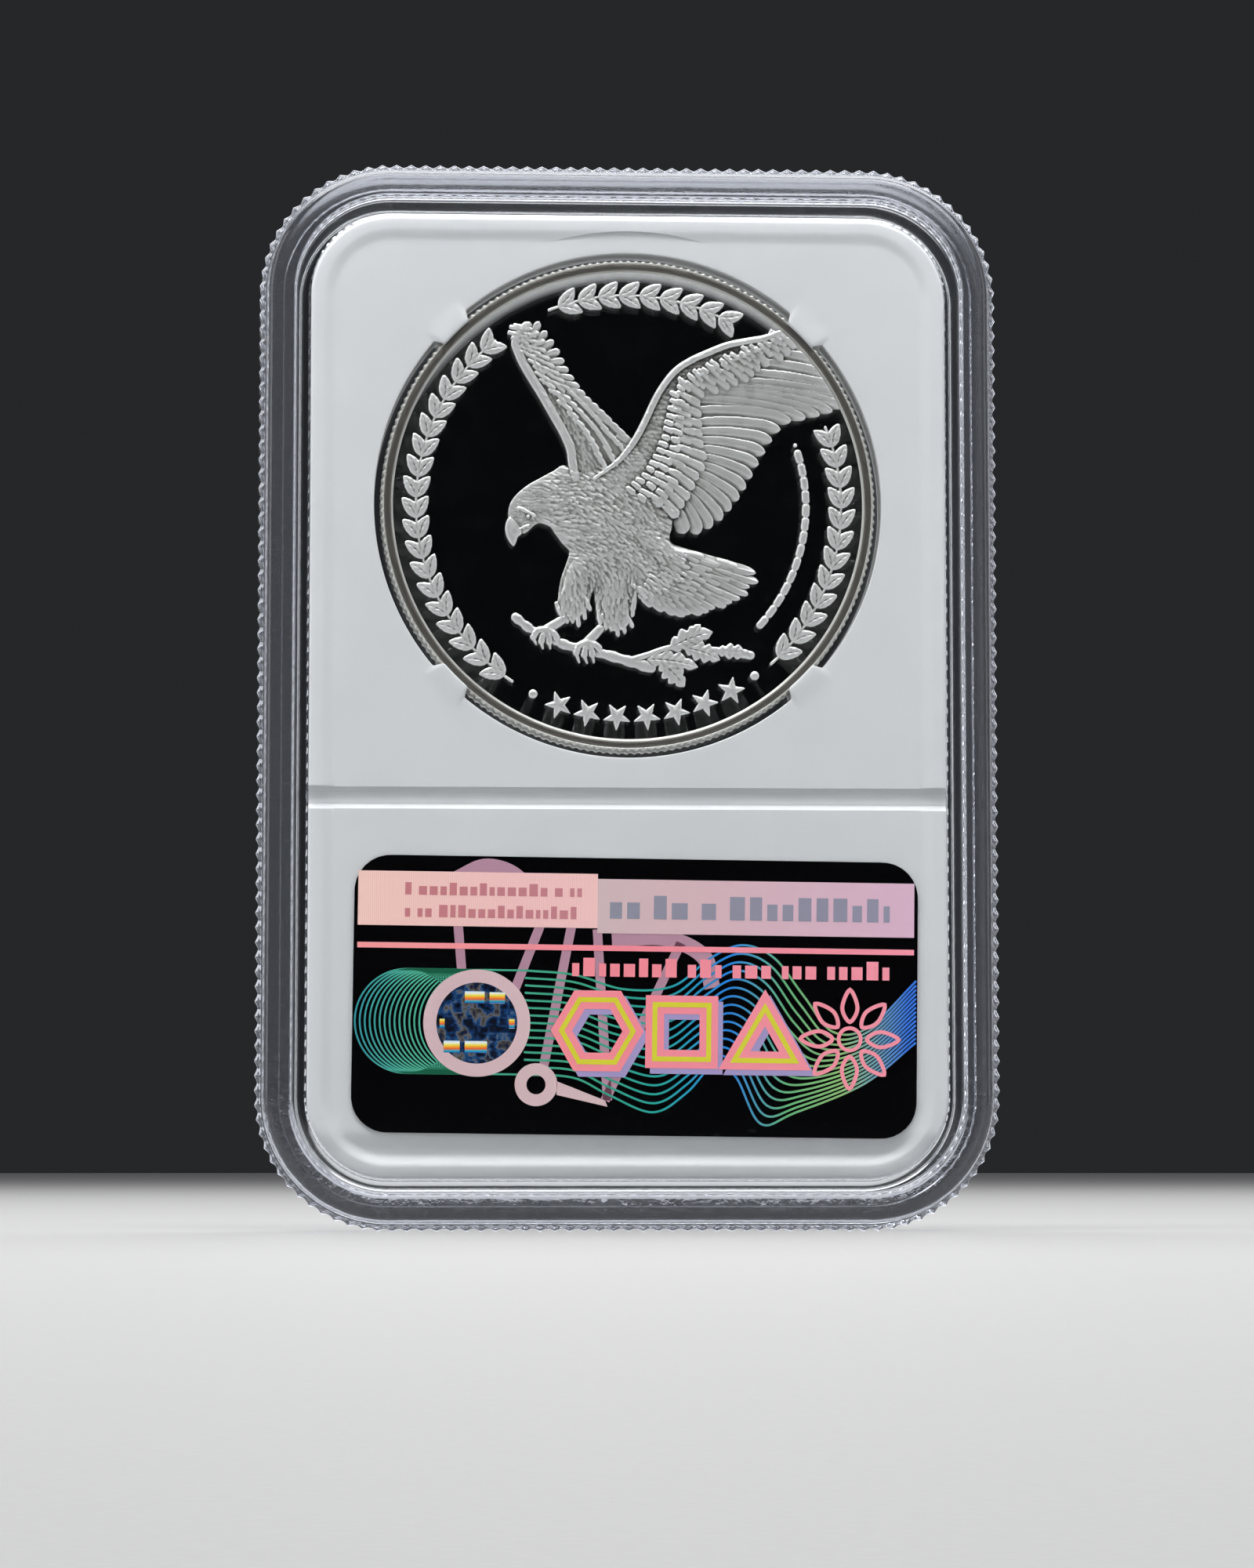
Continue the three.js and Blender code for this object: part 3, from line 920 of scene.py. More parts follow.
    def ridges(self, heights):
        """0 in the creases between feathers, 1 on their crests, and a half where it is even. It sets the
        painted shade in the creases and the painted highlight on the crests of the frost.
        """
        pitch = self.xs[1] - self.xs[0]
        raised = np.maximum(heights, 0.0)
        result = np.full(heights.shape, 0.5)
        for reach, gain in ((0.16, 7.0), (0.5, 3.0)):
            steps = int(3 * reach / pitch)
            kernel = np.exp(-0.5 * (np.arange(-steps, steps + 1) * pitch / reach) ** 2)
            kernel /= kernel.sum()
            soft = raised
            for axis in (0, 1):
                soft = np.apply_along_axis(np.convolve, axis, soft, kernel, "same")
            result += gain * (raised - soft)
        return np.clip(result, 0, 1)


QUILLS, FAR_QUILLS, TAIL_QUILLS, TAIL_ROW = 22, 19, 15, 13
RAYS_ROUND, FACETS_ROUND, PETALS = 48, 12, 8
EYE = (-8.2, -1.0)


def polar(radius, degrees):
    angle = math.radians(degrees)
    return np.array([radius * math.cos(angle), radius * math.sin(angle)])


# Lines that the eagle and its branch are drawn along, in coin millimetres from the centre.
# The heights and half widths in the calls below are in millimetres too, over the coin's field.

WING_BONE = [
    (-2.9, 2.3), (-1.9, 3), (-0.9, 3.8), (0, 4.9), (0.7, 6), (1.3, 7.2), (1.9, 8.5), (2.6, 9.8),
    (3.7, 11.2), (5, 12.1), (6.5, 12.8), (8, 13.4), (9.6, 13.75), (11, 14), (12.3, 14.45),
]
QUILL_ROOTS = [
    (4, -0.8), (4.5, 0.2), (5, 1.2), (5.5, 2.4), (5.9, 3.6), (5.8, 5), (5.5, 6.4), (5.2, 7.7), (5.4, 8.8),
    (6.7, 9.5), (8.2, 10.1), (9.6, 10.8), (10.9, 11.6), (12.2, 12.5), (13.2, 13.3),
]
QUILL_TIPS = [
    (4.6, -2.3), (5.9, -2.3), (7.5, -1.3), (8.9, 0.3), (10, 2.1), (11.1, 4.2), (12.3, 6.1), (13.5, 7.1),
    (15.2, 7.4), (17.6, 8.2), (18.1, 8.9), (18.4, 9.4), (18.6, 10), (18.8, 10.8), (18.8, 11.8),
]
FAR_FRONT = [
    (-4.6, 2.2), (-4.8, 3.2), (-5, 4.6), (-5.6, 6), (-6.5, 7.6), (-7.3, 9), (-8.1, 10.3), (-8.8, 11.5),
    (-9.3, 12.6), (-9.5, 13.4), (-9.1, 14.3),
]
FAR_BACK = [
    (1.4, 3.2), (0.6, 4.6), (-0.4, 5.7), (-1.4, 6.7), (-2.5, 7.8), (-3.6, 8.8), (-4.6, 10), (-5.5, 11.3),
    (-6.2, 12.6), (-6.9, 13.5), (-7.6, 14.4),
]
FAR_TIPS = [((-9.2, 13.4), (-8, 15)), ((-8.8, 13), (-7.3, 14.2)), ((-8.4, 12.4), (-6.8, 13.5))]
BODY = [
    (0.2, 5), (-0.8, 4.1), (-1.9, 3.4), (-3.1, 2.8), (-4.2, 2.7), (-5.3, 3.2), (-6.1, 2.75), (-7.1, 2.2),
    (-8.3, 1.5), (-9.3, 0.6), (-9.75, -0.3), (-9.75, -1.3), (-9.3, -2.1), (-8.5, -2.4), (-7.5, -1.6),
    (-6.5, -1.75), (-5.9, -2.5), (-5.3, -3.3), (-4.8, -3.9), (-5.1, -5), (-5.5, -6.2), (-5.7, -7.6),
    (-5.8, -8.7), (-5.5, -9.3), (-4.5, -9.5), (-3.6, -9.1), (-3.2, -8.2), (-2.85, -7), (-2.65, -8.4),
    (-2.5, -9.6), (-1.8, -10), (-0.8, -10.1), (0.1, -9.6), (0.45, -8.6), (0.5, -7.8), (1.5, -7.6),
    (3.2, -6.8), (4.4, -5.4), (4.6, -3.9), (3.4, -2.9), (3.6, -1.4), (3.2, 0.6), (2.4, 2.6), (1.4, 4.2),
]
TAIL_ROOTS = [
    (2.6, -3.2), (2.9, -4), (2.8, -4.8), (2.6, -5.5), (2.3, -6.1), (1.9, -6.6), (1.5, -7), (1, -7.2),
]
TAIL_TIPS = [
    (10.7, -5.6), (10.2, -6.8), (9.2, -7.7), (8, -8.3), (6.7, -8.8), (5.3, -9), (3.8, -8.8), (2.3, -8.3),
]
BEAK = [
    (-9.7, -1.1), (-9.98, -1.6), (-10, -2.3), (-9.8, -2.9), (-9.4, -3.4), (-9.2, -3.1), (-9.05, -2.7),
    (-8.75, -2.4), (-8.85, -1.9), (-9.25, -1.4),
]
GAPE = [(-9.3, -2.75), (-9.1, -2.3), (-8.7, -1.95), (-8.15, -1.75)]
BROW = [(-9, -0.35), (-8.6, -0.45), (-8.1, -0.7), (-7.7, -0.95)]
STEM = [
    (-9.2, -9.3), (-7.9, -10.3), (-6.2, -11.1), (-4.6, -11.7), (-2.3, -12.2), (-0.1, -12.8), (1.9, -13.4),
]
LEAVES = [
    ((3.4, -11.8), (6.9, -10.4), 0.85), ((4.6, -11.7), (7.5, -12.7), 0.75),
    ((1.6, -12.7), (5.7, -13.3), 0.75), ((2.6, -12.9), (4.6, -14.9), 0.8),
    ((7.2, -12), (10.1, -12.3), 0.55), ((4.9, -11.3), (5.9, -9.8), 0.5),
]
FRINGE = [
    (-5.6, -8.9), (-5.1, -9.3), (-4.6, -9.4), (-4.1, -9.3), (-3.6, -9), (-3.3, -8.2), (-2.3, -9.6),
    (-1.9, -9.9), (-1.4, -10), (-0.9, -10.1), (-0.4, -9.9), (0.1, -9.5), (0.35, -8.8), (0.5, -8),
]
REAR_TOES = [
    ((-7.4, -10.4), (-7.75, -10.95), (-7.5, -11.5)), ((-6.95, -10.8), (-7.1, -11.3), (-6.95, -11.85)),
    ((-6.5, -10.8), (-6.45, -11.35), (-6.35, -11.85)), ((-6.1, -10.6), (-5.85, -11), (-5.75, -11.45)),
]
NEAR_TOES = [
    ((-4, -11.6), (-4.25, -12.2), (-4, -12.95)), ((-3.5, -11.8), (-3.6, -12.4), (-3.35, -13)),
    ((-3.05, -11.8), (-2.95, -12.35), (-2.8, -12.95)), ((-2.75, -11.5), (-2.4, -11.8), (-2.2, -12.3)),
]


def near_wing(relief, seeded):
    """The wing nearest the viewer: quills, rows of coverts and a smooth leading edge."""
    bone, roots, tips = (curve_through(p) for p in (WING_BONE, QUILL_ROOTS, QUILL_TIPS))
    sheet = np.vstack([bone, roots[::-1] * 0.45 + tips[::-1] * 0.55])
    relief.dome(sheet, 0.02, 0.04, 0.4)
    for share in even_shares(roots * 0.35 + tips * 0.65, QUILLS):
        root, tip = along_line(roots, share), along_line(tips, share)
        bend = 0.03 + seeded.uniform(-0.01, 0.01)
        root = root + unit(root - tip) * 0.9
        relief.feather(root, tip, 0.6, 0.06, 0.03, bend=bend, tilt=0.055, shaft=0.7)
    # Rows of coverts: share of the way to the quills, feathers, half width and length.
    rows = [(1.0, 23, 0.44, 2.2), (0.8, 28, 0.33, 1.4), (0.62, 32, 0.26, 0.95), (0.47, 34, 0.22, 0.8)]
    for number, (reach, count, half, length) in enumerate(rows):
        for share in even_shares(bone + (roots - bone) * reach, count) + 0.013 * (number % 2):
            start, root, tip = (along_line(p, share) for p in (bone, roots, tips))
            end = start + (root + (tip - root) * seeded.uniform(0.05, 0.13) - start) * reach
            way = unit(root - start) * (1.1 - 0.4 * reach)
            way = unit(way + unit(tip - root) * reach * 0.7 + seeded.uniform(-0.12, 0.12, 2))
            lift = 0.085 + 0.014 * number + 0.065 * (1 - smooth_step(share / 0.4))
            long = length * seeded.uniform(0.8, 1.2)
            relief.feather(end - way * long, end, half, lift, 0.05, tilt=0.035, drop=-0.015, shaft=0.4)
    start = smooth_step(np.linspace(0, 4, len(bone)))
    relief.limb(bone + np.array([0.16, -0.12]), 0.1 + 0.15 * start, 0.15 - 0.03 * start, 0.02 + 0.07 * start)
    shoulder = np.vstack([bone, (bone + (roots - bone) * 0.55)[::-1]])
    plumage(relief, seeded, shoulder, 0.4, (0.75, 0.14), 0.045, lambda x, y: -46 + 5 * y)


def far_wing(relief, seeded):
    """The wing beyond the body, seen from inside and foreshortened."""
    front, back = curve_through(FAR_FRONT), curve_through(FAR_BACK)
    relief.dome(np.vstack([front, back[::-1]]), 0.03, 0.05, 0.9)
    for share in even_shares(back, FAR_QUILLS):
        end = along_line(back, share)
        way = polar(1.0, -38 + 105 * share**2.4 + seeded.uniform(-6, 6))
        tip = end + way * (0.25 + 0.5 * share**2)
        relief.feather(tip - way * 2.2, tip, 0.32, 0.04, 0.04, tilt=0.035)
    for number, reach in enumerate((0.82, 0.64, 0.48)):
        for share in even_shares(back, 20) + 0.024 * (number % 2):
            start, end = along_line(front, share), along_line(back, share)
            way = polar(1.0, -58 + 45 * share + seeded.uniform(-9, 9))
            tip = start + (end - start) * reach
            long = seeded.uniform(1.1, 1.6)
            relief.feather(tip - way * long, tip, 0.21, 0.065 + 0.008 * number, 0.045, tilt=0.02, drop=-0.02)
    relief.limb(front + np.array([0.28, 0.0]), 0.36, 0.07, 0.08)
    for root, tip in FAR_TIPS:
        relief.feather(root, tip, 0.38, 0.06, 0.06, bend=0.08, tilt=0.02)
    lining = np.vstack([front, (front + (back - front) * 0.5)[::-1]])
    plumage(relief, seeded, lining, 0.4, (0.8, 0.12), 0.05, lambda x, y: -62)


def tail(relief, seeded):
    """A fan of quills, with four rows of shorter feathers over their roots."""
    roots, tips = curve_through(TAIL_ROOTS), curve_through(TAIL_TIPS)
    relief.dome(np.vstack([roots, tips[::-1] * 0.9 + roots[::-1] * 0.1]), 0.02, 0.05, 0.5)
    for i in range(TAIL_QUILLS):
        root, tip = (along_line(p, i / (TAIL_QUILLS - 1)) for p in (roots, tips))
        tip = tip + unit(tip - root) * seeded.uniform(-0.35, 0.25)
        relief.feather(root, tip, 0.46, 0.055, 0.045, bend=seeded.uniform(-0.02, 0.03), tilt=-0.04, shaft=0.7)
    for number, reach in enumerate((0.74, 0.58, 0.43, 0.28)):
        for i in range(TAIL_ROW):
            share = (i + 0.5 * (number % 2)) / TAIL_ROW
            root, tip = along_line(roots, share), along_line(tips, share)
            end = root + (tip - root) * (reach + seeded.uniform(-0.06, 0.06))
            way = unit(tip - root) + seeded.uniform(-0.12, 0.12, 2)
            relief.feather(end - way * 1.6, end, 0.27, 0.075 + 0.01 * number, 0.045, tilt=-0.02, drop=-0.01)


def plumage_turn(x, y):
    """The way that the plumage lies on the body, in degrees: along the neck, down the legs."""
    along = -14 - 24 * smooth_step((x + 6) / 6)
    down = smooth_step((-4.2 - y) / 2.6) * smooth_step((1.6 - x) / 1.2)
    return along + (-86 - along) * down


def plumage(relief, seeded, outline, step, size, height, turn):
    """Scales of plumage over a closed outline, each turned as asked at its place."""
    outline = np.asarray(outline, float)
    area, depth = relief.depth(outline)
    corner = relief.xs[area[0].start], relief.ys[area[1].start]
    pitch = relief.xs[1] - relief.xs[0]
    low, high = outline.min(0), outline.max(0)
    for row, y in enumerate(np.arange(low[1], high[1], step * 0.8)):
        for x in np.arange(low[0], high[0], step) + (row % 2) * step / 2:
            place = np.array([x, y]) + seeded.uniform(-0.3, 0.3, 2) * step
            i, j = (int(gap / pitch) for gap in place - corner)
            grow, lean = seeded.uniform(0.75, 1.25), seeded.uniform(-14, 14)
            tall = height * seeded.uniform(0.5, 1.0)
            if not (0 <= i < depth.shape[0] and 0 <= j < depth.shape[1]) or depth[i, j] < 0.08:
                continue
            wavy = 12 * math.sin(1.9 * x + 0.8 * y) * math.sin(1.3 * y - 0.5 * x)
            way = polar(1.0, turn(*place) + wavy + lean)
            length = size[0] * grow
            relief.tuft(place - way * length / 2, place + way * length / 2, size[1], tall)


def body(relief, seeded):
    """Body, neck, head and feathered thighs, with scales of plumage all over."""
    outline = curve_through(BODY, 6, closed=True)
    relief.dome(outline, 0.04, 0.13, 1.4)
    swell = [
        ([(-6.6, 0.6), (-4.2, -0.2), (-2.2, -0.9), (0.2, -1.8), (2.2, -3.4), (4.0, -5.0)], 1.0, 0.1, 0.07),
        ([(-2.6, -2.8), (-3.8, -5.0), (-4.4, -7.0), (-4.6, -8.6)], 0.95, 0.07, 0.09),
        ([(-0.2, -3.2), (-0.9, -5.6), (-1.1, -7.6), (-1.0, -9.3)], 1.1, 0.07, 0.1),
    ]
    for line, radius, base, rise in swell:
        line = curve_through(line, 6)
        grown = smooth_step(np.linspace(0, 2.2, len(line)))
        relief.limb(line, 0.2 + (radius - 0.2) * grown, base, rise * (0.25 + 0.75 * grown))
    trunk = [p for p in outline if p[0] > -7.2]
    crown = [p for p in outline if p[0] < -6.6]
    plumage(relief, seeded, trunk, 0.7, (1.5, 0.27), 0.06, plumage_turn)
    plumage(relief, seeded, trunk, 0.42, (1.0, 0.14), 0.1, plumage_turn)
    plumage(relief, seeded, crown, 0.3, (0.5, 0.1), 0.045, plumage_turn)
    for spot in np.array(FRINGE):
        way = polar(1.0, -80 + seeded.uniform(-18, 18))
        relief.feather(spot - way * 0.9, spot + way * seeded.uniform(0.3, 0.8), 0.17, 0.07, 0.06, tilt=0.01)


def head(relief):
    """The beak, the line of its gape, the brow and the eye, laid over the plumage."""
    beak = curve_through(BEAK, 6, closed=True)
    area, depth = relief.depth(beak)
    relief.tufts[area] *= depth < -0.05
    relief.dome(beak, 0.1, 0.12, 0.4)
    relief.limb(curve_through(GAPE, 4), 0.06, 0.1, 0.07)
    relief.limb(curve_through(BROW, 4), 0.1, 0.16, 0.04)
    area, depth = relief.depth([polar(0.2, a) + EYE for a in range(0, 360, 30)])
    relief.h[area] = np.where(depth > 0, 0.1, relief.h[area])
    relief.tufts[area] *= depth < -0.1
    relief.bead(EYE, 0.12, 0.12, 0.09)


def foot(relief, ankle, palm, toes):
    """A bare shank, and toes that curl over the branch with a claw each."""
    relief.limb([ankle, palm], [0.34, 0.42], 0.07, 0.12)
    for toe in toes:
        line = curve_through([palm, *toe[:2]], 4)
        relief.limb(line, np.linspace(0.3, 0.23, len(line)), 0.09, 0.14)
        for share in (0.5, 0.75, 0.95):
            relief.bead(along_line(line, share), 0.25, 0.16, 0.09)
        relief.limb([toe[1], toe[2]], [0.17, 0.04], 0.12, 0.1)


def branch(relief):
    """The oak branch that the talons hold, with lobed leaves."""
    stem = curve_through(STEM, 6)
    knots = 0.05 * np.sin(np.arange(len(stem)) * 1.7)
    relief.limb(stem, np.linspace(0.34, 0.42, len(stem)) + knots, 0.05, 0.1)
    twig = curve_through([(-0.2, -12.9), (1.4, -12.4), (3.4, -11.7), (5.2, -11.6)], 6)
    relief.limb(twig, np.linspace(0.28, 0.16, len(twig)), 0.05, 0.09)
    spur = curve_through([(5.0, -11.6), (7.0, -11.9), (10.0, -12.3)], 6)
    relief.limb(spur, np.linspace(0.2, 0.34, len(spur)), 0.05, 0.09)
    for root, tip, half in LEAVES:
        relief.leaf(root, tip, half, 0.06, 0.1, bend=0.05, lobes=4)


def garland(relief, radius, start, end, step, length, half):
    """Pairs of laurel leaves along an arc, with berries between them."""
    count = int(round(abs(end - start) / step))
    way = 1 if end > start else -1
    ring = [polar(radius, a) for a in np.linspace(start, end, count * 4)]
    relief.limb(ring, 0.1, 0.03, 0.06)
    for i in range(count):
        at = start + way * step * (i + 0.5)
        root = polar(radius, at)
        for side in (-1, 1):
            tangent = at + way * 90 - way * side * 32
            tip, bend = root + polar(length, tangent), 0.06 * side * way
            relief.leaf(root, tip, half, 0.05, 0.1, bend=bend, vein=0.6)
        if i % 2:
            relief.bead(polar(radius + 0.9, at - way * step * 0.35), 0.2, 0.04, 0.12)


def star(relief, centre, radius, turn):
    """A five-pointed star with ridged arms."""
    arms = (radius, radius * 0.42) * 5
    relief.dome([centre + polar(r, turn + 36 * i) for i, r in enumerate(arms)], 0.05, 0.12, 0.35)


def rear_relief():
    relief = Relief(0.066)
    seeded = np.random.default_rng(7)
    far_wing(relief, seeded)
    tail(relief, seeded)
    near_wing(relief, seeded)
    shoulder = relief.tufts.copy()
    relief.tufts[:] = 0
    body(relief, seeded)
    near = relief.depth(np.vstack([curve_through(WING_BONE), curve_through(QUILL_ROOTS)[::-1]]))
    relief.tufts[near[0]] *= near[1] < 0.2
    np.maximum(relief.tufts, shoulder, out=relief.tufts)
    head(relief)
    branch(relief)
    foot(relief, (-5.4, -9.5), (-6.6, -10.3), REAR_TOES)
    foot(relief, (-2.3, -10.2), (-3.3, -11.3), NEAR_TOES)
    return relief


def wreath_relief():
    """Garlands, a pearled line, pellets and stars, where a coin has its legends."""
    relief = Relief(0.075)
    for radius, start, end in ((17.35, 237, 129), (17.35, 112, 62), (17.5, -48, 22)):
        garland(relief, radius, start, end, 5.6, 2.0, 0.5)
    for at in np.arange(-41, 20, 4.4):
        spot, way = polar(14.6, at), polar(0.3, at + 90)
        relief.limb([spot - way, spot + way], 0.3, 0.04, 0.12)
        relief.limb([spot + way * 3.3, spot + way * 3.32], 0.14, 0.03, 0.1)
    for at in (-116.5, -53.5):
        relief.limb([polar(17.4, at), polar(17.41, at)], 0.34, 0.05, 0.12)
    for at in np.arange(-109, -60, 8.0):
        star(relief, polar(17.4, at), 1.15, at)
    return relief


def front_relief():
    """A plain sunburst with a laurel ring."""
    relief = Relief(0.12)
    for i in range(RAYS_ROUND):
        reach = (14.2, 11.6, 12.8, 11.6)[i % 4]
        relief.limb([polar(r, 360 / RAYS_ROUND * i) for r in (6.0, reach)], [0.3, 0.08], 0.03, 0.1)
    for i in range(FACETS_ROUND):
        relief.limb([polar(r, 30 * i) for r in (1.7, 3.3, 4.7)], [0.2, 0.72, 0.15], 0.04, 0.2)
    relief.dome([polar(1.2, a) for a in range(0, 360, 10)], 0.05, 0.2, 0.7)
    relief.limb([polar(5.4, a) for a in range(0, 365, 5)], 0.2, 0.05, 0.12)
    garland(relief, 17.0, 0, 360, 5.625, 2.1, 0.5)
    return relief


# ---- labels ----


def on_film(points):
    """Film millimetres, from its middle, to the face's own (u, v), with the film's tilt."""
    points = np.asarray(points, float)
    c, s = math.cos(FILM_TILT), math.sin(FILM_TILT)
    u = FILM_MIDDLE[0] + points[..., 0] * c - points[..., 1] * s
    v = FILM_MIDDLE[1] + points[..., 0] * s + points[..., 1] * c
    return np.stack([u, v], -1)


def ribbon(builder, points, width, low, high, closed=False, to_face=on_film):
    """A flat strip of foil of even width along a line."""
    points = np.asarray(points, float)
    if closed:
        ahead, behind = np.roll(points, -1, axis=0), np.roll(points, 1, axis=0)
    else:
        ahead, behind = np.vstack([points[1:], points[-1:]]), np.vstack([points[:1], points[:-1]])
    way = unit_rows(ahead - behind)
    side = np.stack([-way[:, 1], way[:, 0]], -1)
    if closed:
        edge = unit_rows(ahead - points)
        side /= np.maximum(np.abs((way * edge).sum(1)), 0.35)[:, None]
    count = len(points)
    rows = []
    for share, h in ((-0.5, low), (-0.5, high), (0.5, high), (0.5, low)):
        rows.append(np.column_stack([to_face(points + side * width * share), np.full(count, h)]))
    faces = []
    for i in range(count if closed else count - 1):
        j = (i + 1) % count
        for k in range(4):
            m = (k + 1) % 4
            faces.append([i * 4 + k, i * 4 + m, j * 4 + m, j * 4 + k])
    if not closed:
        last = (count - 1) * 4
        faces += [[0, 3, 2, 1], [last, last + 1, last + 2, last + 3]]
    builder.add(np.stack(rows, 1), faces)


def patch(builder, outline, low, high, to_face=on_film):
    prism(builder, to_face(np.asarray(outline, float)).tolist(), low, high)


def dashes(builder, start, end, v, height, low, high, seeded, to_face=on_film):
    """A row of plain blocks that stands in for a line of printing."""
    u = start
    while u < end - 0.3:
        width = min(seeded.uniform(0.35, 0.7) * height, end - u)
        top = v + height * seeded.choice([0.7, 0.7, 1.0])
        patch(builder, rectangle(u, v, u + width, top), low, high, to_face)
        u += width + height * seeded.choice([0.22, 0.22, 0.22, 0.6])


def petal(centre, turn, foot, spread):
    """A closed line round a petal that points away from a centre."""
    spots = ((foot, 0), (2.6, spread), (4.0, 0), (2.6, -spread))
    return curve_through([centre + polar(r, turn + a) for r, a in spots], 5, closed=True)


def ring_line(centre, radius, sides=72, turn=0.0):
    return [np.array(centre) + polar(radius, turn + 360 * i / sides) for i in range(sides)]


FOIL_LAYER = 0.012
SWEEP = [(-14.6, 9.4), (-12.4, 10.4), (-10.2, 9.9), (-8.8, 8.4), (-8, 6)]
RAYS = [
    ((-14.8, 9), (-14, 0.5)), ((-6.4, 9.4), (-10.6, -1.6)), ((-4.6, 9.4), (-7.47, -6.1)),
    ((-3.2, 5.4), (-2.2, -8.4)), ((3.6, 4.4), (-2.4, -8.4)),
]
CROOK = [(-2, 4.6), (2.2, 4.8), (5.4, 3.4), (6.2, 0.8)]
GUILLOCHE_TOP = [
    (-9, 2), (-5, 1.7), (-1, 0.6), (3, 0.9), (6, 3.2), (8.6, 4.3), (11.2, 3.3), (13.6, 0.3), (16, -2.6),
    (19, -2.2), (22.8, 1.6),
]
GUILLOCHE_LOW = [
    (-9, -6.4), (-5, -6.6), (-2, -8), (1.5, -9.3), (4.2, -7.7), (6.4, -5.4), (8.2, -6.4), (10.2, -10.1),
    (13, -9.2), (18.6, -6.8), (22.8, -3.4),
]
GUILLOCHE_LINES = 15
TABS = {"salmon": (-22.6, 5.5, -3.2, 9.9), "lilac": (-3.2, 5.1, 22.6, 9.5)}
POINTER = [(-6.34, -6.9), (-6.34, -8), (-2.2, -8.9), (-2.4, -8.4)]
# Bands on the disc: their place from its middle, their width and their height.
DISC_BANDS = [
    (-1, 1.6, 1.6, 0.95), (1, 1.6, 1.25, 0.9), (-3, -0.4, 0.4, 0.7), (2.6, -0.4, 0.45, 0.75),
    (-2.65, -2.4, 1.3, 0.95), (-0.95, -2.4, 1.8, 0.95),
]
# A hexagon, a square and a triangle: their middles, radii, sides and turns.
MARKS = [((-3.1, -2.8), 2.9, 6, 0), ((3.75, -2.8), 3.1, 4, 45), ((10.5, -3.6), 2.85, 3, 90)]
ROSETTE = np.array((17.4, -3.2))


def hologram_shapes(seeded):
    """The coloured layers of the sticker, each as a mesh in the making. Its marks are generic."""
    names = "sweeps", "waves", "salmon", "lilac", "pink", "ring", "disc", "bands", "shade", "yellow", "ink"
    layers = {name: Builder() for name in names}

    def levels(level):
        return FILM_TOP + FOIL_LAYER * (0.15 + level), FILM_TOP + FOIL_LAYER * (0.85 + level)

    def line(name, level, points, width, closed=False):
        ribbon(layers[name], points, width, *levels(level), closed)

    def area(name, level, outline):
        patch(layers[name], outline, *levels(level))

    def print_row(name, level, *row):
        dashes(layers[name], *row, *levels(level), seeded)

    line("sweeps", 0, curve_through(SWEEP), 1.2)
    for ray in RAYS:
        line("sweeps", 0, ray, 0.75)
    line("sweeps", 0, curve_through(CROOK), 1.3)

    top, bottom = curve_through(GUILLOCHE_TOP, 9), curve_through(GUILLOCHE_LOW, 9)
    for k in range(GUILLOCHE_LINES):
        line("waves", 1, top + (bottom - top) * (k / (GUILLOCHE_LINES - 1)), 0.17)
        line("waves", 1, ring_line((-18.5 + 0.4 * k, -2.2), 4.2), 0.14, closed=True)
    for v in (2.0, -6.4):
        line("waves", 1, [(-18.5, v), (-9, v)], 0.15)

    for name, corners in TABS.items():
        area(name, 2, rectangle(*corners))
    line("pink", 2, [(-22.6, 3.9), (22.6, 3.9)], 0.45)
    for centre, radius, wide in ((DISC_AT, 3.8, 1.05), ((-8.0, -7.2), 1.25, 0.95)):
        line("ring", 2, ring_line(centre, radius), wide, closed=True)
    area("ring", 2, POINTER)
    area("disc", 2, ring_line(DISC_AT, 3.27))
    for u, v, wide, tall in DISC_BANDS:
        u, v = DISC_AT[0] + u, DISC_AT[1] + v
        area("bands", 3, rectangle(u, v, u + wide, v + tall))

    for mark in MARKS:
        outline = ring_line(*mark)
        line("shade", 3, np.array(outline) + (0.4, -0.45), 1.5, closed=True)
        line("pink", 4, outline, 1.5, closed=True)
        line("yellow", 5, outline, 0.4, closed=True)
    for i in range(PETALS):
        line("pink", 4, petal(ROSETTE, 45 * i, 1.4, 14), 0.32, closed=True)
    line("pink", 5, ring_line(ROSETTE, 0.9, 32), 0.3, closed=True)

    print_row("pink", 4, -5.2, 20.6, 1.6, 1.5)
    for v in (8.0, 6.2):
        print_row("ink", 3, -18.8, -4.4, v, 1.0)
    print_row("ink", 3, -2.2, 20.6, 6.3, 1.9)
    return layers


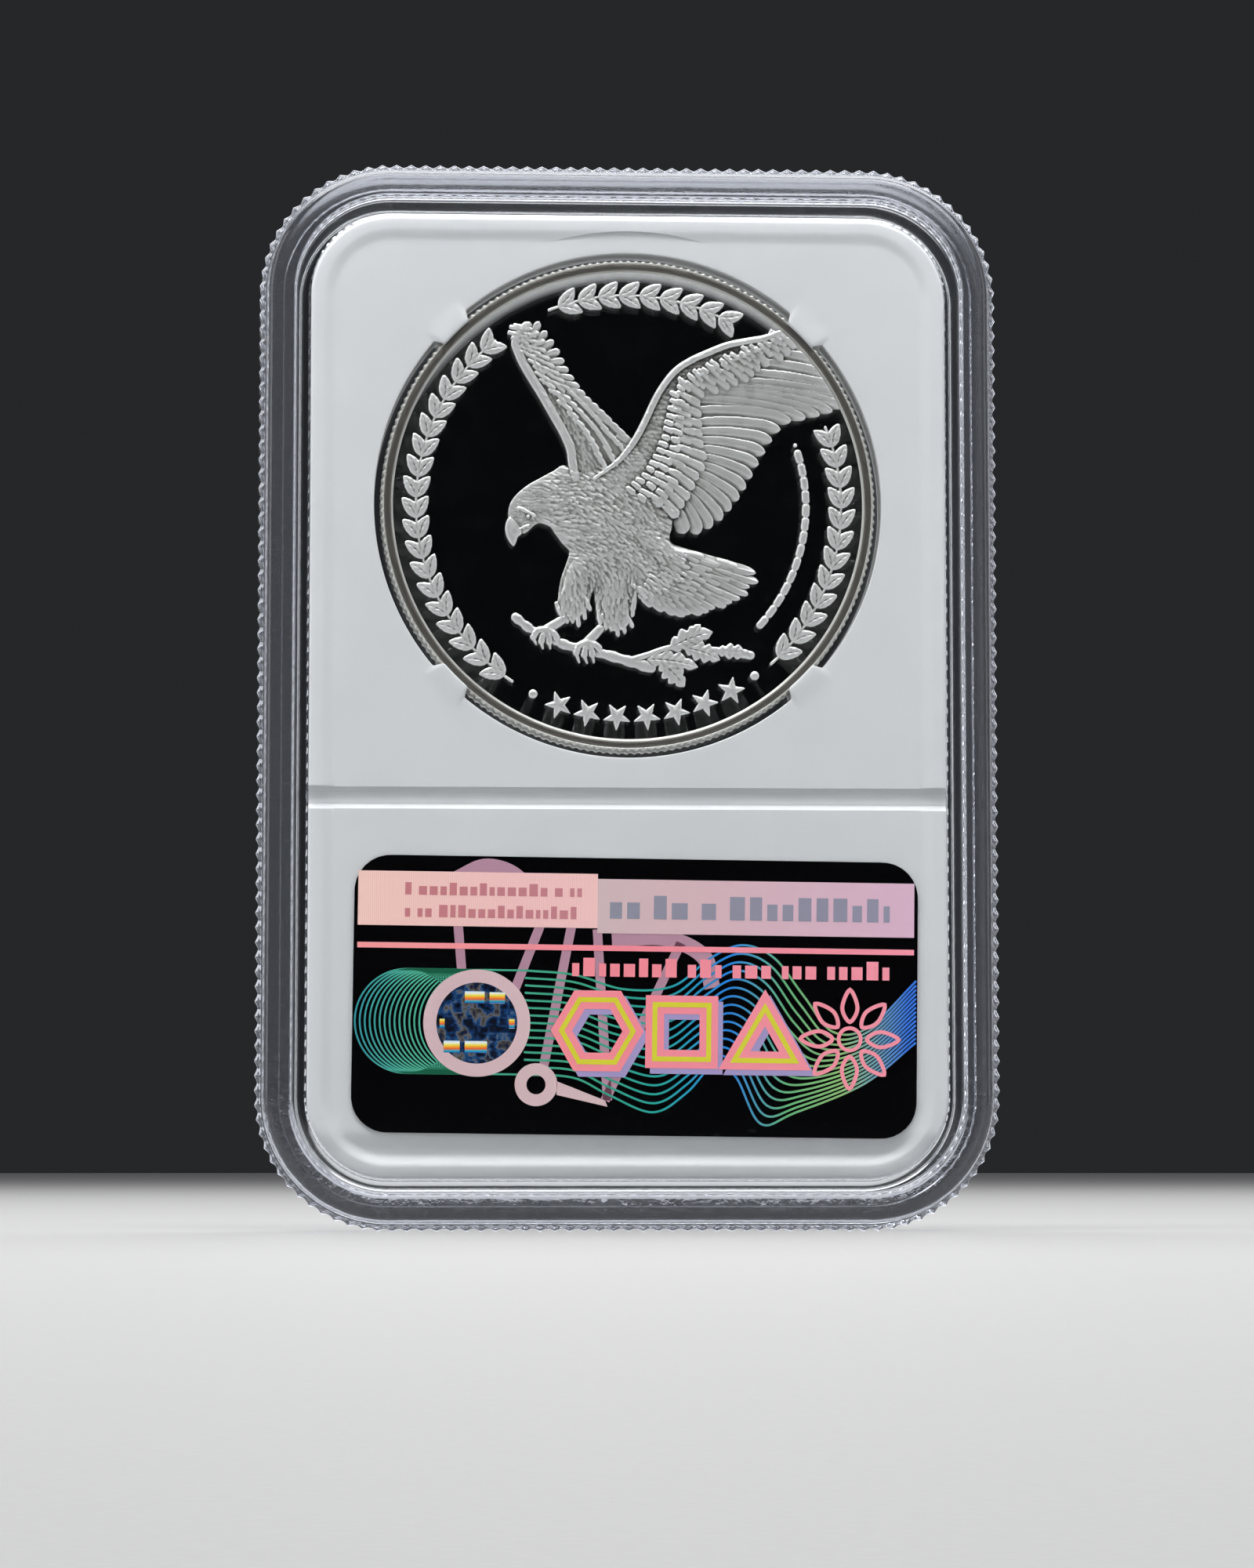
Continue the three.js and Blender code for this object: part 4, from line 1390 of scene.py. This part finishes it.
def hologram():
    """The sticker: black film under layers of coloured foil."""
    width, height, corner = FILM_SIZE
    film = Builder()
    patch(film, rounded_path(width, height, corner, (0, 0), FILM_STEPS)[0], -FILM_HIGH[1], FILM_TOP)
    show("hologram_film_base", film.mesh("hologram_film_base"), [film_black()])
    layers = hologram_shapes(np.random.default_rng(3))
    # Each foil below glows a little in its colour, as painted light.
    looks = [
        foil("foil_mauve", (0.48, 0.26, 0.35), (0.52, 0.3, 0.38)),
        foil(
            "foil_waves",
            (0.0, (0.03, 0.3, 0.36)), (0.12, (0.08, 0.45, 0.3)), (0.42, (0.05, 0.4, 0.24)),
            (0.56, (0.02, 0.4, 0.36)), (0.68, (0.02, 0.24, 0.75)), (0.78, (0.15, 0.5, 0.22)),
            (0.88, (0.3, 0.55, 0.2)), (1.0, (0.04, 0.18, 0.7)),
        ),
        foil(
            "foil_salmon",
            (0.0, (1.0, 0.66, 0.58)), (0.3, (1.0, 0.62, 0.6)), (1.0, (1.0, 0.64, 0.6)),
            stripes=2.0,
        ),
        foil("foil_lilac", (0.4, (0.68, 0.52, 0.52)), (0.65, (0.74, 0.5, 0.54)), (1.0, (0.76, 0.49, 0.62))),
        foil("foil_pink", (1.0, 0.36, 0.36), (1.0, 0.29, 0.35), (1.0, 0.34, 0.42)),
        foil("foil_ring", (0.72, 0.5, 0.53), (0.76, 0.58, 0.56)),
        rainbow_disc(),
        rainbow_bands(),
        foil("foil_lavender", (0.42, 0.34, 0.62), (0.4, 0.34, 0.6)),
        foil("foil_yellow", (0.72, 0.68, 0.03), (0.75, 0.72, 0.05)),
        foil(
            "foil_ink",
            (0.0, (0.6, 0.2, 0.22)), (0.42, (0.6, 0.24, 0.27)),
            (0.46, (0.3, 0.3, 0.37)), (1.0, (0.31, 0.3, 0.39)),
        ),
    ]
    for (name, builder), look in zip(layers.items(), looks):
        show("hologram_" + name, builder.mesh("hologram_" + name), [look])


def on_card(points):
    points = np.asarray(points, float)
    return np.stack([points[..., 0], points[..., 1] + CARD_V], -1)


def grade_card():
    """The card at the front: a framed field with plain blocks, a seal and a bar pattern."""
    seeded = np.random.default_rng(11)
    width, height, corner = CARD_SIZE
    bottom, top = CARD_LOW[1], CARD_HIGH[1] - 0.02
    low, high = top + 0.002, top + 0.012
    card, blue, grey, gold = (Builder() for _ in range(4))

    def frame_line(inset):
        size = width - 2 * inset, height - 2 * inset, corner - inset * 0.6
        return rounded_path(*size, (0, 0), CARD_STEPS)[0]

    patch(card, frame_line(0), bottom, top, on_card)
    for inset, wide in ((0.9, 0.5), (1.6, 0.15)):
        ribbon(blue, frame_line(inset), wide, low, high, True, on_card)
    patch(blue, rectangle(-21.5, 6.2, 21.5, 10.2), low, high, on_card)
    dashes(gold, -20.0, 12.0, 7.4, 1.6, high + 0.002, high + 0.01, seeded, on_card)
    for end, v, tall in ((5.0, 2.6, 1.9), (1.0, -0.4, 1.4), (7.0, -2.8, 1.4), (-6.0, -6.6, 1.8)):
        dashes(grey, -20.5, end, v, tall, low, high, seeded, on_card)
    u = -2.5
    while u < 9.0:
        wide = seeded.choice([0.16, 0.3, 0.46])
        patch(grey, rectangle(u, -9.6, u + wide, -5.0), low, high, on_card)
        u += wide + seeded.choice([0.2, 0.36])
    seal = np.array((15.6, -2.2))
    for radius, wide in ((5.2, 0.35), (4.5, 0.12)):
        ribbon(gold, ring_line(seal, radius), wide, low, high, True, on_card)
    for i in range(12):
        ribbon(gold, petal(seal, 30 * i, 1.2, 9), 0.16, low, high, True, on_card)
    looks = [
        paper("card_white", (0.78, 0.77, 0.73)),
        paper("ink_blue", (0.03, 0.09, 0.26)),
        paper("ink_grey", (0.06, 0.065, 0.08)),
        # Gold ink glows a little like the foil, as painted light.
        foil("ink_gold", (0.6, 0.42, 0.14), (0.66, 0.5, 0.2)),
    ]
    for name, builder, look in zip(("card", "blue", "grey", "gold"), (card, blue, grey, gold), looks):
        show("grade_" + name, builder.mesh("grade_" + name, front_face), [look])


# ---- assembly ----

for node, made in (("rear_shell", rear_shell()), ("front_shell", front_shell())):
    shell = show(node + "_clear", made, [CLEAR, CLEAR_RIM])
    shell.visible_shadow = False
    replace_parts(shell, node)

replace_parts(show("insert_moulding", insert_mesh(), [WHITE]), "coin_insert")
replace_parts(show("coin_blank", coin_blank(), [MIRROR, RIM_PAINTED_DARK, REEDED]), "coin")
reliefs = [
    ("coin_eagle", rear_relief(), rear_face),
    ("coin_wreath", wreath_relief(), rear_face),
    ("coin_sunburst", front_relief(), front_face),
]
for name, relief, place in reliefs:
    show(name, relief.mesh(name, place, FIELD), [FROST_WITH_PAINTED_SHADE])
hologram()
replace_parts(bpy.data.objects["hologram_film_base"], "hologram_label")
grade_card()
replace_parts(bpy.data.objects["grade_card"], "grade_label")


# ---- floor, lights and camera ----


def floor():
    bpy.ops.mesh.primitive_circle_add(vertices=128, radius=1.6, fill_type="NGON")
    plane = bpy.context.object
    plane.name = "floor"
    plane.data.materials.append(paper("floor", (0.42, 0.42, 0.42)))


# Where the lights look, in metres.
SLAB_MIDDLE = (0, 0, 0.045)


def aim(thing, target):
    thing.rotation_euler = (Vector(target) - thing.location).to_track_quat("-Z", "Y").to_euler()


def softbox(name, place, size, power):
    lamp = bpy.data.lights.new(name, "AREA")
    lamp.shape = "RECTANGLE"
    lamp.size, lamp.size_y = size
    lamp.energy = power
    thing = placed(name, lamp)
    thing.location = place
    thing.visible_camera = False
    aim(thing, SLAB_MIDDLE)


AZIMUTH, ELEVATION, DISTANCE = -3.3, -5.4, 0.4
LENS, SHIFT_X, SHIFT_Y = 112.2, 0.0, -0.0557


def camera():
    data = bpy.data.cameras.new("camera")
    thing = placed("camera", data)
    turn, rise = math.radians(AZIMUTH), math.radians(ELEVATION)
    back = Vector((math.sin(turn) * math.cos(rise), -math.cos(turn) * math.cos(rise), math.sin(rise)))
    centre = Vector((0, 0, MIDDLE * MM))
    thing.location = centre + back * DISTANCE
    aim(thing, centre)
    data.sensor_width = 36.0
    data.lens = LENS
    data.shift_x, data.shift_y = SHIFT_X, SHIFT_Y
    data.clip_start = 0.005
    bpy.context.scene.camera = thing


def world():
    """Dark in front, where the coin's field looks, and paler behind, to the sides and above."""
    made = bpy.data.worlds.new("world")
    bpy.context.scene.world = made
    made.use_nodes = True
    sky = Nodes(made.node_tree)
    coords = sky.node("ShaderNodeTexCoord", {}).outputs["Generated"]
    x, y, z = sky.node("ShaderNodeSeparateXYZ", {"Vector": coords}).outputs
    backdrop = sky.ramp(y, [(0.0, (0.0025, 0.0027, 0.003)), (0.35, (0.019, 0.02, 0.022))])
    sides = sky.ramp(sky.math("ABSOLUTE", x), [(0.24, (0, 0, 0)), (0.6, (0.055, 0.058, 0.066))])
    above = sky.ramp(z, [(0.36, (0, 0, 0)), (0.75, (0.5, 0.5, 0.53))])
    behind = sky.ramp(y, [(0.0, (0, 0, 0)), (0.4, (1, 1, 1))])
    glow = sky.mix("MULTIPLY", sky.mix("ADD", sides, above), behind)
    sky.tree.links.new(sky.mix("ADD", backdrop, glow), sky.tree.nodes["Background"].inputs["Color"])


SOFTBOXES = {
    "top_softbox": ((-0.05, -0.21, 0.56), (0.6, 0.22), 2.9),
    "overhead_softbox": ((0.0, -0.02, 0.62), (0.7, 0.08), 1.2),
    "left_softbox": ((-0.55, -0.25, 0.22), (0.25, 0.5), 0.7),
    "right_softbox": ((0.55, -0.25, 0.22), (0.25, 0.5), 0.5),
    "left_back_softbox": ((-0.45, 0.28, 0.12), (0.35, 0.6), 0.6),
    "right_back_softbox": ((0.45, 0.28, 0.12), (0.35, 0.6), 0.5),
    "top_back_softbox": ((0.0, 0.24, 0.56), (0.8, 0.5), 3.2),
}

floor()
for name, lamp in SOFTBOXES.items():
    softbox(name, *lamp)
world()
camera()
bpy.context.scene.view_settings.view_transform = "Standard"
